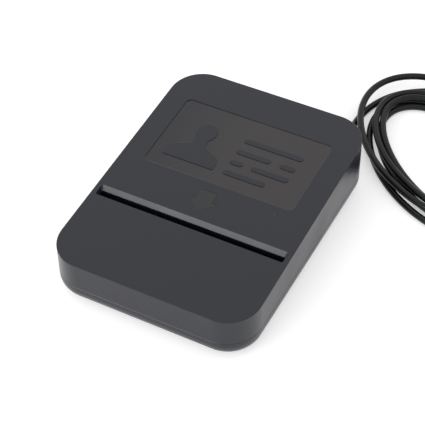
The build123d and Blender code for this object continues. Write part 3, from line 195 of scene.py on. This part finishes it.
# %% [markdown]
# The picture has a white table under broad, soft light. The case is so dark that most of what
# shows on it is the reflection of that white room: walls seen at a glancing angle mirror the
# bright table, and the top, seen more squarely, stays darker. Many small lamps would put hard
# spots on the plastic, so the room itself is the main lamp, and one large softbox, in front and
# to the left, gives the slope behind the slot its gleam.

# %% Helpers that add a node and fill its sockets


def fill(tree, socket, value):
    """Join a socket to another node's output, or set it to a value."""
    if isinstance(value, bpy.types.NodeSocket):
        tree.links.new(value, socket)
    else:
        socket.default_value = value


def put(tree, kind, plugs=(), **settings):
    """Add one node. plugs gives each input, by name or number, a value or another node's output."""
    made = tree.nodes.new(kind)
    for key, value in settings.items():
        setattr(made, key, value)
    for key, value in dict(plugs).items():
        fill(tree, made.inputs[key], value)
    return made


def seen_directly(tree):
    """1 for what the camera sees, straight, in a reflection or through glass, and 0 for what only
    lights other things: the largest of Light Path's three flags."""
    path = put(tree, "ShaderNodeLightPath")
    seen = path.outputs["Is Camera Ray"]
    for way in ("Is Glossy Ray", "Is Transmission Ray"):
        seen = put(tree, "ShaderNodeMath", {0: seen, 1: path.outputs[way]}, operation="MAXIMUM").outputs[0]
    return seen


print("helpers", put.__name__, fill.__name__, seen_directly.__name__)

# %% Room light: pure white where it is seen, a little softer where it only lights
white = (1, 1, 1, 1)
lighting_strength, seen_strength = 0.84, 1.0
world = bpy.data.worlds.new("room")
bpy.context.scene.world = world
world.use_nodes = True
room = world.node_tree
room.nodes.clear()
lights = put(room, "ShaderNodeBackground", {"Color": white, "Strength": lighting_strength})
shows = put(room, "ShaderNodeBackground", {"Color": white, "Strength": seen_strength})
either = put(room, "ShaderNodeMixShader", {0: seen_directly(room), 1: lights.outputs[0], 2: shows.outputs[0]})
put(room, "ShaderNodeOutputWorld", {"Surface": either.outputs[0]})
print("room lights at", lighting_strength, "and shows at", seen_strength)

# %% Softbox in front and to the left
box_lamp = bpy.data.lights.new("softbox", "AREA")
box_lamp.shape, box_lamp.size, box_lamp.size_y = "RECTANGLE", 1.1, 0.7
box_lamp.energy = 10.0
softbox = bpy.data.objects.new("softbox", box_lamp)
lamp_way = Vector((-0.333, -0.815, 0.477)).normalized()
lamp_target, lamp_distance = Vector((0, -0.03, 0.03)), 1.6
softbox.location = lamp_target + lamp_way * lamp_distance
softbox.rotation_euler = lamp_way.to_track_quat("Z", "Y").to_euler()
bpy.context.scene.collection.objects.link(softbox)
print("softbox at", [round(v, 2) for v in softbox.location])

# %% White table, which glows a little more where it is seen
table_half = 4.0
table_corners = [(x * table_half, y * table_half, 0) for x, y in ((-1, -1), (1, -1), (1, 1), (-1, 1))]
table_mesh = bpy.data.meshes.new("table")
table_mesh.from_pydata(table_corners, [], [(0, 1, 2, 3)])
table = bpy.data.objects.new("table", table_mesh)
bpy.context.scene.collection.objects.link(table)

paper_white = (0.8, 0.8, 0.8, 1)
lighting_glow, seen_glow = 0.2, 0.45
white_table = bpy.data.materials.new("white_table")
white_table.use_nodes = True
tree = white_table.node_tree
tree.nodes.clear()
paper = put(tree, "ShaderNodeBsdfDiffuse", {"Color": paper_white})
glow = put(tree, "ShaderNodeMapRange",
           {"Value": seen_directly(tree), "To Min": lighting_glow, "To Max": seen_glow})
lift = put(tree, "ShaderNodeEmission", {"Color": white, "Strength": glow.outputs[0]})
lit = put(tree, "ShaderNodeAddShader", {0: paper.outputs[0], 1: lift.outputs[0]})
put(tree, "ShaderNodeOutputMaterial", {"Surface": lit.outputs[0]})
table.data.materials.append(white_table)
print("table", 2 * table_half, "m wide")

# %% [markdown]
# Moulded plastic is never one flat colour. A spark-eroded mould leaves a fine even grain, hands
# polish it a little in places, and dust settles on faces that look up. Each effect could be
# drawn anew in every material, but as a node group with its own inputs it is built once, and
# every finish here takes it with values of its own.

# %% Group: fine mould grain


def group(name, inputs, outputs):
    """An empty node group with named sockets: its tree, its input node and its output node."""
    tree = bpy.data.node_groups.new(name, "ShaderNodeTree")
    for label, kind, start in inputs:
        socket = tree.interface.new_socket(label, in_out="INPUT", socket_type=kind)
        if start is not None:
            socket.default_value = start
    for label, kind in outputs:
        tree.interface.new_socket(label, in_out="OUTPUT", socket_type=kind)
    return tree, tree.nodes.new("NodeGroupInput"), tree.nodes.new("NodeGroupOutput")


number, vector = "NodeSocketFloat", "NodeSocketVector"
height_scale = 0.6
mould_grain, given, result = group(
    "mould_grain",
    [("Vector", vector, None), ("Size in mm", number, 0.6)],
    [("Height", number), ("Tone", number)],
)
per_metre = put(mould_grain, "ShaderNodeMath",
                {0: mm_per_metre, 1: given.outputs["Size in mm"]}, operation="DIVIDE")
pits = put(mould_grain, "ShaderNodeTexNoise", {
    "Vector": given.outputs["Vector"], "Scale": per_metre.outputs[0], "Detail": 3.0, "Roughness": 0.6,
})
cells = put(mould_grain, "ShaderNodeTexVoronoi",
            {"Vector": given.outputs["Vector"], "Scale": per_metre.outputs[0]}, feature="SMOOTH_F1")
pits_and_cells = put(mould_grain, "ShaderNodeMath",
                     {0: pits.outputs[0], 1: cells.outputs["Distance"]}, operation="ADD")
height = put(mould_grain, "ShaderNodeMath",
             {0: pits_and_cells.outputs[0], 1: height_scale}, operation="MULTIPLY")
mould_grain.links.new(height.outputs[0], result.inputs["Height"])
mould_grain.links.new(pits.outputs[0], result.inputs["Tone"])
print("grain group", len(mould_grain.nodes), "nodes")

# %% Group: broad patches where hands have polished the surface
hand_polish, given, result = group(
    "hand_polish",
    [("Vector", vector, None), ("Low", number, 0.4), ("High", number, 0.55)],
    [("Roughness", number)],
)
patches = put(hand_polish, "ShaderNodeTexNoise",
              {"Vector": given.outputs["Vector"], "Scale": 26.0, "Detail": 4.0})
spread = put(hand_polish, "ShaderNodeMapRange", {
    "Value": patches.outputs[0], "From Min": 0.3, "From Max": 0.7,
    "To Min": given.outputs["Low"], "To Max": given.outputs["High"],
})
hand_polish.links.new(spread.outputs[0], result.inputs["Roughness"])
print("polish group", len(hand_polish.nodes), "nodes")

# %% Group: sparse dust on faces that look up
level_enough = 0.9
dust_specks, given, result = group(
    "dust_specks",
    [("Vector", vector, None), ("Cells per metre", number, 90.0), ("Share", number, 0.12),
     ("Speck", number, 0.026)],
    [("Mask", number)],
)
scatter = put(dust_specks, "ShaderNodeTexVoronoi",
              {"Vector": given.outputs["Vector"], "Scale": given.outputs["Cells per metre"]})
inside = put(dust_specks, "ShaderNodeMath",
             {0: scatter.outputs["Distance"], 1: given.outputs["Speck"]}, operation="LESS_THAN")
draw = put(dust_specks, "ShaderNodeSeparateColor", {0: scatter.outputs["Color"]})
chosen = put(dust_specks, "ShaderNodeMath",
             {0: draw.outputs[0], 1: given.outputs["Share"]}, operation="LESS_THAN")
surface = put(dust_specks, "ShaderNodeNewGeometry")
facing = put(dust_specks, "ShaderNodeSeparateXYZ", {0: surface.outputs["Normal"]})
upward = put(dust_specks, "ShaderNodeMath",
             {0: facing.outputs["Z"], 1: level_enough}, operation="GREATER_THAN")
pick = put(dust_specks, "ShaderNodeMath",
           {0: inside.outputs[0], 1: chosen.outputs[0]}, operation="MULTIPLY")
settle = put(dust_specks, "ShaderNodeMath",
             {0: pick.outputs[0], 1: upward.outputs[0]}, operation="MULTIPLY")
dust_specks.links.new(settle.outputs[0], result.inputs["Mask"])
print("dust group", len(dust_specks.nodes), "nodes")

# %% [markdown]
# One maker of materials serves all plain finishes, because they differ in numbers alone. The
# grain tints the colour a little and raises a bump, the polish varies the gloss, and whatever is
# the same all over is set straight on the shader. Special finishes take the same start and add
# their own pattern.

# %% Helpers of the finishes


def use(tree, which, plugs=()):
    """Place a node group in a material, with its inputs filled."""
    made = tree.nodes.new("ShaderNodeGroup")
    made.node_tree = which
    for key, value in dict(plugs).items():
        fill(tree, made.inputs[key], value)
    return made


def blend_colours(tree, share, first, second):
    """Mix two colours; each is a colour or another node's output."""
    mixed = put(tree, "ShaderNodeMix", data_type="RGBA")
    for socket, value in ((mixed.inputs[0], share), (mixed.inputs[6], first), (mixed.inputs[7], second)):
        fill(tree, socket, (*value, 1.0) if isinstance(value, tuple) else value)
    return mixed.outputs[2]


def wear(piece, material):
    """Give a piece or a solid one material."""
    piece.data.materials.clear()
    piece.data.materials.append(material)


print("helpers", use.__name__, blend_colours.__name__, wear.__name__)

# %% A finish from its colour, gloss and grain
grain_height = 0.0002


def finish(name, colour, gloss, grain=0.6, depth=0.05, swing=0.15, fixed=()):
    """Material with a grained, slightly uneven surface. colour is linear, gloss is the lowest and
    highest roughness, grain is in millimetres, depth is the strength of the bump, swing is how far
    the tone strays from the colour, and fixed sets sockets that are constant."""
    made = bpy.data.materials.new(name)
    made.use_nodes = True
    tree = made.node_tree
    shader = tree.nodes["Principled BSDF"]
    where = put(tree, "ShaderNodeTexCoord").outputs["Object"]
    grains = use(tree, mould_grain, {"Vector": where, "Size in mm": grain})
    polish = use(tree, hand_polish, {"Vector": where, "Low": gloss[0], "High": gloss[1]})
    darker = tuple(c * (1 - swing) for c in colour)
    lighter = tuple(c * (1 + swing) for c in colour)
    tinted = blend_colours(tree, grains.outputs["Tone"], darker, lighter)
    bump = put(tree, "ShaderNodeBump",
               {"Height": grains.outputs["Height"], "Strength": depth, "Distance": grain_height})
    tree.links.new(tinted, shader.inputs["Base Color"])
    tree.links.new(polish.outputs["Roughness"], shader.inputs["Roughness"])
    tree.links.new(bump.outputs[0], shader.inputs["Normal"])
    for key, value in dict(fixed).items():
        shader.inputs[key].default_value = value
    return made


def start_of(material):
    """What a special finish builds on: the tree, the shader, Object coordinates and the colour."""
    tree = material.node_tree
    shader = tree.nodes["Principled BSDF"]
    where = next(n for n in tree.nodes if n.bl_idname == "ShaderNodeTexCoord").outputs["Object"]
    return tree, shader, where, shader.inputs["Base Color"].links[0].from_socket


print("maker", finish.__name__, "with bumps up to", grain_height * mm_per_metre, "mm")

# %% [markdown]
# The case is charcoal plastic with a fine grain. Behind the slot a card-shaped field lies 0.4 mm
# deep; its floor is a touch warmer and lighter than the rest, less so towards its left end. The
# field is part of the cover, and a second material would need its faces picked out by hand, so
# the warmth comes from a mask: inside a rounded rectangle in plan. A few specks of dust lie on
# the top.

# %% Group: rounded rectangle seen from above
# 1 where the distance to the rectangle less its corners is under the corner's radius, else 0
rounded_field, given, result = group(
    "rounded_field",
    [("Vector", vector, None), ("Centre", vector, None), ("Half size less corner", vector, None),
     ("Corner", number, 0.004)],
    [("Mask", number)],
)
shifted = put(rounded_field, "ShaderNodeVectorMath",
              {0: given.outputs["Vector"], 1: given.outputs["Centre"]}, operation="SUBTRACT")
mirrored = put(rounded_field, "ShaderNodeVectorMath", {0: shifted.outputs[0]}, operation="ABSOLUTE")
beyond = put(rounded_field, "ShaderNodeVectorMath",
             {0: mirrored.outputs[0], 1: given.outputs["Half size less corner"]}, operation="SUBTRACT")
clipped = put(rounded_field, "ShaderNodeVectorMath",
              {0: beyond.outputs[0], 1: (0, 0, 0)}, operation="MAXIMUM")
reach = put(rounded_field, "ShaderNodeVectorMath", {0: clipped.outputs[0]}, operation="LENGTH")
within = put(rounded_field, "ShaderNodeMath",
             {0: reach.outputs["Value"], 1: given.outputs["Corner"]}, operation="LESS_THAN")
rounded_field.links.new(within.outputs[0], result.inputs["Mask"])
print("field group", len(rounded_field.nodes), "nodes")

# %% Charcoal plastic of the case
charcoal, case_gloss = (0.0070, 0.0080, 0.0140), (0.25, 0.35)
case_grain = {"grain": 0.45, "depth": 0.10, "swing": 0.18}
case_plastic = finish("case_plastic", charcoal, case_gloss, **case_grain)
symbol_plastic = finish("symbol_plastic", charcoal, case_gloss, **case_grain)
tree, shader, where, plain = start_of(case_plastic)
print("case plastic", len(tree.nodes), "nodes before its floor and dust")

# %% Warm floor of the field, and dust
warm_floor, dust_grey = (0.0265, 0.0230, 0.0235), (0.25, 0.25, 0.24)
field_centre, field_half, field_corner = (0.0, 0.035, 0.04), (0.054, 0.03175), 0.004
# The mask reaches this far up and down as well, enough for the tilted floor and clear of the feet.
floor_reach = 0.01
warm_left, warm_middle, least_warm = -0.05, 0.0, 0.25
on_field = use(tree, rounded_field, {
    "Vector": where, "Centre": field_centre, "Corner": field_corner,
    "Half size less corner": (field_half[0] - field_corner, field_half[1] - field_corner, floor_reach),
})
dust = use(tree, dust_specks, {"Vector": where})
from_middle = put(tree, "ShaderNodeSeparateXYZ", {0: where}).outputs["X"]
fade = put(tree, "ShaderNodeMapRange",
           {"Value": from_middle, "From Min": warm_left, "From Max": warm_middle, "To Min": least_warm})
warmth = put(tree, "ShaderNodeMath",
             {0: on_field.outputs["Mask"], 1: fade.outputs[0]}, operation="MULTIPLY")
warmed = blend_colours(tree, warmth.outputs[0], plain, warm_floor)
dusty = blend_colours(tree, dust.outputs["Mask"], warmed, dust_grey)
tree.links.new(dusty, shader.inputs["Base Color"])
for name in ("upper_cover", "base_shell"):
    wear(nodes[name], case_plastic)
print("case finish", len(tree.nodes), "nodes")

# %% [markdown]
# The card symbol is a faceless bust with rows of bars. They are islands that stand on the
# field's floor up to the level of the top face. A picture of them would stay flat when the light
# moves, so each is an outline with a small profile carried round it: up the side, over a fine
# bevel that leans forward, then one flat face on top. The lean leaves the front wall upright and
# the rear one sloping.

# %% Raised plate from an outline
front_edge, front_top, slope = -0.095, 0.0349, math.tan(math.radians(3.0))


def top_height(y):
    """Height of the tilted top face at depth y."""
    return front_top + (y - front_edge) * slope


def mesh_piece(name, points, faces, material):
    """A piece of the reader from its points and faces, with its finish."""
    mesh = bpy.data.meshes.new(name)
    mesh.from_pydata(points.tolist(), [], faces)
    mesh.update()
    piece = bpy.data.objects.new(name, mesh)
    bpy.context.scene.collection.objects.link(piece)
    wear(piece, material)
    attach(piece, "reader")
    return piece


def plate(name, outline, low, high, drop, bevel, lean, material):
    """Carry the profile (0, low), (0, high - drop), (bevel, high) round a closed outline that runs
    anticlockwise: each ring is the outline moved inward along its normals, and the last one also
    forward by lean, or back where lean is negative. Heights are above the top face. The top and
    the bottom are one face each."""
    outline = np.asarray(outline, float)
    ahead = np.roll(outline, -1, axis=0) - outline
    ahead /= np.linalg.norm(ahead, axis=1)[:, None]
    both_ways = ahead + np.roll(ahead, 1, axis=0)
    both_ways /= np.linalg.norm(both_ways, axis=1)[:, None]
    inward = np.column_stack((-both_ways[:, 1], both_ways[:, 0]))
    points = []
    for inset, height, shift in ((0.0, low, 0.0), (0.0, high - drop, 0.0), (bevel, high, lean)):
        flat = outline + inward * inset + (0.0, -shift)
        points.append(np.column_stack((flat, top_height(flat[:, 1]) + height)))
    count = len(outline)
    here = np.arange(count)
    after = np.roll(here, -1)
    walls = [np.column_stack((here, after, after + count, here + count)) + count * k for k in range(2)]
    faces = np.vstack(walls).tolist() + [(here + 2 * count).tolist(), here[::-1].tolist()]
    return mesh_piece(name, np.vstack(points), faces, material)


print("top face from", front_top, "to", round(top_height(-front_edge), 4))

# %% Bust: shoulders, neck and an oval head in one outline


def rounded(points, times=3):
    """Cut every corner of a closed outline at a quarter and three quarters of its sides, again
    and again, which ends in a smooth curve."""
    points = np.asarray(points, float)
    for _ in range(times):
        following = np.roll(points, -1, axis=0)
        near = 0.75 * points + 0.25 * following
        far = 0.25 * points + 0.75 * following
        points = np.stack((near, far), 1).reshape(-1, 2)
    return points


# The outline is in millimetres, and anticlockwise from the foot of the right shoulder.
head_middle, head_half = (-27.2, 43.0), (7.3, 8.3)
neck_right, neck_left, head_steps = -52, 232, 22
around = np.radians(np.linspace(neck_right, neck_left, head_steps))
head = np.column_stack((head_middle[0] + head_half[0] * np.cos(around),
                        head_middle[1] + head_half[1] * np.sin(around)))
right_side = [(-8.4, 14.0), (-8.4, 15.0), (-8.4, 20.5), (-10.0, 24.2), (-15.5, 27.2), (-20.6, 29.4),
              (-22.6, 31.6)]
left_side = [(-31.8, 31.6), (-33.8, 29.4), (-39.0, 27.4), (-43.6, 25.2), (-45.4, 21.5), (-45.5, 15.0),
             (-45.5, 14.0)]
foot = [(-44.5, 14.0), (-9.4, 14.0)]
bust = rounded(np.vstack((right_side, head, left_side, foot))) / mm_per_metre

field_sink = 0.0004
island = {"low": -field_sink, "high": 0.0, "drop": 0.00012, "bevel": 0.0002, "lean": 0.0002,
          "material": symbol_plastic}
plate("symbol_bust", bust, **island)
print("bust outline", len(bust), "points")

# %% Bars with round ends


def bar_outline(x_left, x_right, y, half, steps=13):
    """Two half circles joined by straight sides. Takes millimetres and gives metres."""
    turn_right = np.radians(np.linspace(-90, 90, steps))
    turn_left = np.radians(np.linspace(90, 270, steps))
    ends = [np.column_stack((x_right - half + half * np.cos(turn_right), y + half * np.sin(turn_right))),
            np.column_stack((x_left + half + half * np.cos(turn_left), y + half * np.sin(turn_left)))]
    return np.vstack(ends) / mm_per_metre


# Left end, right end and depth of each bar in millimetres
bars = [(-1.4, 41.1, 47.3), (-1.8, 22.9, 36.4), (29.6, 40.5, 36.4), (-1.7, 7.8, 26.3),
        (13.9, 40.3, 26.3), (-1.6, 28.3, 16.3)]
bar_half = 2.2
for count, (x_left, x_right, y) in enumerate(bars):
    plate(f"symbol_bar_{count + 1}", bar_outline(x_left, x_right, y, bar_half), **island)
print("bars", len(bars))

# %% [markdown]
# The field's edge is not sharp: the mould leaves a gentle slope at its front and right sides,
# which looks away from the eye and so catches a thin line of light. A bevel on the solid would
# run all round alike. So the edge is a ring with a sloping top, and its rear and left sides are
# almost upright, so that those stay dark.

# %% Sloping lip round the field


def rounded_rectangle(low, high, corner, steps=9):
    """Outline of a rectangle from low to high, anticlockwise, with quarter circles at its corners."""
    left, right_end = low[0] + corner, high[0] - corner
    front, rear = low[1] + corner, high[1] - corner
    arc = np.radians(np.linspace(0, 90, steps))
    outline = []
    for quarter, middle in enumerate(((right_end, rear), (left, rear), (left, front), (right_end, front))):
        swept = arc + quarter * np.pi / 2
        outline.append(middle + corner * np.column_stack((np.cos(swept), np.sin(swept))))
    return np.vstack(outline)


def ring(name, outer, inner, low, high, drop, material):
    """Closed ring with a sloping top: up the outer outline from low to high, down to the inner
    outline at high - drop, upright to low, and back along the bottom. Both outlines have the same
    number of points."""
    points = [np.column_stack((flat, top_height(flat[:, 1]) + height))
              for flat, height in ((outer, low), (outer, high), (inner, high - drop), (inner, low))]
    count = len(outer)
    here = np.arange(count)
    after = np.roll(here, -1)
    faces = [np.column_stack((here + a, after + a, after + b, here + b))
             for a, b in ((0, count), (count, 2 * count), (2 * count, 3 * count), (3 * count, 0))]
    return mesh_piece(name, np.vstack(points), np.vstack(faces).tolist(), material)


lip_front, lip_right, lip_narrow, lip_drop = 0.0009, 0.00055, 0.00005, 0.00028
field_low = np.array(field_centre[:2]) - field_half
field_high = np.array(field_centre[:2]) + field_half
outer = rounded_rectangle(field_low, field_high, field_corner)
inner = rounded_rectangle(field_low + (lip_narrow, lip_front), field_high - (lip_right, lip_narrow),
                          field_corner - lip_front / 2)
ring("field_lip", outer, inner, -field_sink, 0.0, lip_drop, symbol_plastic)
print("lip", len(outer), "points round")

# %% [markdown]
# Between the field and the slot an arrow points to the slot. A recess would have to be cut into
# the cover, so it is a thin inlay instead, just proud of the face and smoother than it. Its
# front edges slope and gleam. Behind its rear edges a thin near-black plate shows as a dark line:
# a painted shadow, standing in for the shadow in a shallow recess.

# %% Arrow and its painted shadow
arrow_plastic = finish("arrow_plastic", (0.0130, 0.0145, 0.0155), (0.22, 0.30),
                       grain=0.45, depth=0.05, swing=0.1)
# Near-black, dull finish of the painted shadow behind the arrow's rear edges.
painted_shadow_black = finish("painted_shadow_black", (0.002, 0.002, 0.002), (0.6, 0.7), grain=0.45, depth=0.1,
                   fixed={"Specular IOR Level": 0.1})
arrow = np.array([(5.1, -4.0), (-6.3, -4.0), (-6.3, -12.4), (-10.9, -12.4), (-0.7, -21.8),
                  (9.5, -12.4), (5.1, -12.4)]) / mm_per_metre
arrow_sink, arrow_rise, arrow_bevel = 0.0001, 0.00018, 0.0001
# Painted shadow: a thin near-black plate, shifted 0.4 mm back, shows as a dark line behind the arrow's rear
# edges.
shadow_rise, shadow_bevel, shadow_shift = 0.00003, 0.00001, (0.0, 0.0004)
plate("symbol_arrow", arrow, -arrow_sink, arrow_rise, arrow_rise, arrow_bevel, -arrow_bevel, arrow_plastic)
plate("arrow_painted_shadow", arrow + shadow_shift, -arrow_sink, shadow_rise, shadow_bevel, shadow_bevel, 0.0, painted_shadow_black)
print("arrow", len(arrow), "corners,", round(arrow_rise * mm_per_metre, 2), "mm proud")

# %% [markdown]
# The cable jacket is black and smooth with a soft sheen. A plain black would look like a flat
# ribbon, so its gloss and tone vary a little. The boot and the plug's grip are moulded in a
# duller black with a finer grain, and the feet are soft matt rubber.

# %% Finishes of the cable, its plug and the feet
metal = {"Metallic": 1.0}
jacket = finish("cable_jacket", (0.0030, 0.0030, 0.0038), (0.24, 0.34), grain=1.2, depth=0.04, swing=0.25,
                fixed={"Specular IOR Level": 0.3})
boot_black = finish("boot_black", (0.011, 0.011, 0.012), (0.42, 0.55), grain=0.5, depth=0.10)
nickel = finish("nickel_shell", (0.56, 0.55, 0.53), (0.22, 0.34), grain=0.3, depth=0.02, swing=0.04,
                fixed=metal)
insulator = finish("white_insulator", (0.78, 0.78, 0.75), (0.35, 0.45), grain=0.5, depth=0.03, swing=0.03)
rubber = finish("foot_rubber", (0.018, 0.018, 0.018), (0.75, 0.9), grain=0.35, depth=0.2, swing=0.3)


def wear_all(pairs):
    """Give every solid its finish. Each pair is a finish and the names of its solids."""
    for material, names in pairs:
        for name in names:
            wear(nodes[name], material)
    return sum(len(names) for material, names in pairs)


wear(free_cable, jacket)
dressed = wear_all((
    (jacket, ("inner_cable",)),
    (boot_black, ("cable_boot", "plug_grip")),
    (nickel, ("plug_shell",)),
    (insulator, ("plug_tongue",)),
    (rubber, ("foot_front_left", "foot_front_right", "foot_rear_left", "foot_rear_right")),
))
print("solids dressed outside the case", dressed)

# %% [markdown]
# Inside the case sit the optics, the boards and the lever. They are hidden in the picture, and
# one grey for all would do there, but a case comes apart at its screws, so each has its own
# finish: black moulded parts that keep stray light down, green boards with fine tracks,
# zinc-plated steel, gilded pins and clear glass.

# %% Boards with tracks under the solder mask
mask_green, track_green = (0.012, 0.085, 0.035), (0.03, 0.16, 0.07)
cells_per_metre, track_start = 320.0, 0.42


def board_finish(name):
    """Green solder mask. Tracks are the borders of square cells, a little lighter."""
    made = finish(name, mask_green, (0.25, 0.35), grain=0.8, depth=0.02, swing=0.1)
    tree, shader, where, plain = start_of(made)
    lanes = put(tree, "ShaderNodeTexVoronoi", {"Vector": where, "Scale": cells_per_metre},
                feature="F1", distance="CHEBYCHEV")
    track = put(tree, "ShaderNodeMath",
                {0: lanes.outputs["Distance"], 1: track_start}, operation="GREATER_THAN")
    tree.links.new(blend_colours(tree, track.outputs[0], plain, track_green), shader.inputs["Base Color"])
    return made


solder_mask = board_finish("solder_mask")
print("board finish", len(solder_mask.node_tree.nodes), "nodes")

# %% Other finishes inside the case
inside_black = finish("inside_black", (0.008, 0.008, 0.009), (0.55, 0.7), grain=0.5, depth=0.15)
chip_black = finish("chip_black", (0.015, 0.015, 0.016), (0.5, 0.6), grain=0.25, depth=0.1)
foam = finish("gasket_foam", (0.02, 0.02, 0.02), (0.85, 0.95), grain=0.4, depth=0.6, swing=0.4)
clear_glass = finish("window_glass", (0.93, 0.95, 0.95), (0.02, 0.05), grain=3.0, depth=0.0, swing=0.01,
                     fixed={"Transmission Weight": 1.0, "IOR": 1.5})
lens_glass = finish("lens_glass", (0.55, 0.62, 0.85), (0.02, 0.04), grain=3.0, depth=0.0, swing=0.05,
                    fixed={"Transmission Weight": 1.0, "IOR": 1.6})
anodised = finish("black_anodised", (0.03, 0.03, 0.032), (0.3, 0.4), grain=0.25, depth=0.06, fixed=metal)
zinc = finish("zinc_steel", (0.56, 0.57, 0.58), (0.3, 0.45), grain=0.3, depth=0.05, swing=0.08, fixed=metal)
tinned = finish("tinned_sheet", (0.65, 0.65, 0.63), (0.25, 0.4), grain=1.5, depth=0.04, swing=0.06,
                fixed=metal)
ferrite = finish("ferrite_grey", (0.06, 0.06, 0.06), (0.6, 0.75), grain=0.3, depth=0.15)
can_metal = finish("can_aluminium", (0.7, 0.7, 0.71), (0.25, 0.35), grain=0.4, depth=0.03, swing=0.05,
                   fixed=metal)
sensor_dark = finish("sensor_dark", (0.02, 0.02, 0.03), (0.08, 0.12), grain=1.0, depth=0.01)
lamp_face = finish("lamp_white", (0.75, 0.68, 0.38), (0.3, 0.4), grain=0.5, depth=0.05, swing=0.1)
pin_gold = finish("pin_gold", (0.75, 0.55, 0.25), (0.2, 0.3), grain=0.3, depth=0.02, swing=0.05, fixed=metal)
ivory = finish("socket_ivory", (0.62, 0.58, 0.48), (0.4, 0.5), grain=0.5, depth=0.06)
insulation = finish("lead_insulation", (0.16, 0.16, 0.17), (0.35, 0.45), grain=0.8, depth=0.04)
print("materials so far", len(bpy.data.materials))

# %% Ribbon film with fine conductors
conductor, stripe_scale = (0.32, 0.26, 0.16), 320.0
film = finish("ribbon_film", (0.62, 0.62, 0.58), (0.3, 0.4), grain=0.8, depth=0.03, swing=0.05)
tree, shader, where, plain = start_of(film)
stripes = put(tree, "ShaderNodeTexWave", {"Vector": where, "Scale": stripe_scale},
              wave_type="BANDS", bands_direction="X")
tree.links.new(blend_colours(tree, stripes.outputs["Fac"], conductor, plain), shader.inputs["Base Color"])
print("film finish", len(tree.nodes), "nodes")

# %% Every solid inside gets its finish
dressed = wear_all((
    (solder_mask, ("main_board", "camera_board", "led_board_left", "led_board_right", "antenna_board",
                   "sensor_board")),
    (inside_black, ("slot_guide", "optics_housing", "lens_holder", "document_lever", "light_gate",
                    "cable_clamp")),
    (chip_black, ("buzzer", "processor", "memory_chips")),
    (foam, ("window_gasket",)),
    (clear_glass, ("window_glass",)),
    (lens_glass, ("lens_glass",)),
    (anodised, ("lens_barrel",)),
    (zinc, ("case_screws", "guide_screws", "housing_screws", "camera_screws", "board_screws",
            "clamp_screw", "lever_pin")),
    (tinned, ("radio_shield", "clock_crystal")),
    (ferrite, ("power_inductors",)),
    (can_metal, ("capacitors",)),
    (sensor_dark, ("image_sensor",)),
    (lamp_face, ("leds",)),
    (pin_gold, ("led_pins",)),
    (ivory, ("ribbon_sockets", "lead_sockets", "header_plug")),
    (insulation, ("sensor_leads", "cable_cores")),
    (film, ("camera_ribbon", "antenna_ribbon")),
))
print("solids dressed inside the case", dressed)

# %% [markdown]
# The plug's tongue carries four gold contacts. Painted stripes would have no edges to catch the
# light, so they are small bevelled plates, let a little into the tongue's lower face and laid
# along the plug's own direction.

# %% Contacts of the plug
block_corners = [(a, b, c) for c in (-1, 1) for a, b in ((-1, -1), (1, -1), (1, 1), (-1, 1))]
block_faces = [(3, 2, 1, 0), (4, 5, 6, 7), (0, 1, 5, 4), (1, 2, 6, 5), (2, 3, 7, 6), (3, 0, 4, 7)]
soft_edge = 0.00008


def block(name, centre, along, sizes, material):
    """A bevelled bar: the corners are centre plus and minus half of each size along the bar's own
    three directions."""
    along = unit(np.asarray(along, float))
    up = np.array((0.0, 0.0, 1.0))
    across = np.cross(up, along)
    half_steps = np.array(block_corners) * np.asarray(sizes) / 2
    corners = np.asarray(centre) + half_steps @ np.array((along, across, up))
    piece = mesh_piece(name, corners, block_faces, material)
    soften = piece.modifiers.new("soften", "BEVEL")
    soften.width, soften.segments = soft_edge, 2
    return piece


grip_length, contact_reach, contact_drop = 0.031, 0.0115, 0.00005
contact_sizes = (0.0095, 0.001, 0.0003)
lanes_in_mm = (-3.5, -1.0, 1.0, 3.5)
tongue_low, tongue_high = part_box("plug_tongue")
plug_left = np.array((-plug_way[1], plug_way[0], 0.0))
for count, lane in enumerate(lanes_in_mm):
    sideways = plug_left * lane / mm_per_metre
    centre = plug_back + plug_way * grip_length + plug_way * contact_reach + sideways
    centre[2] = tongue_low.z - contact_drop
    block(f"plug_contact_{count + 1}", centre, plug_way, contact_sizes, pin_gold)
print("tongue from", round(tongue_low.z, 4), "to", round(tongue_high.z, 4))
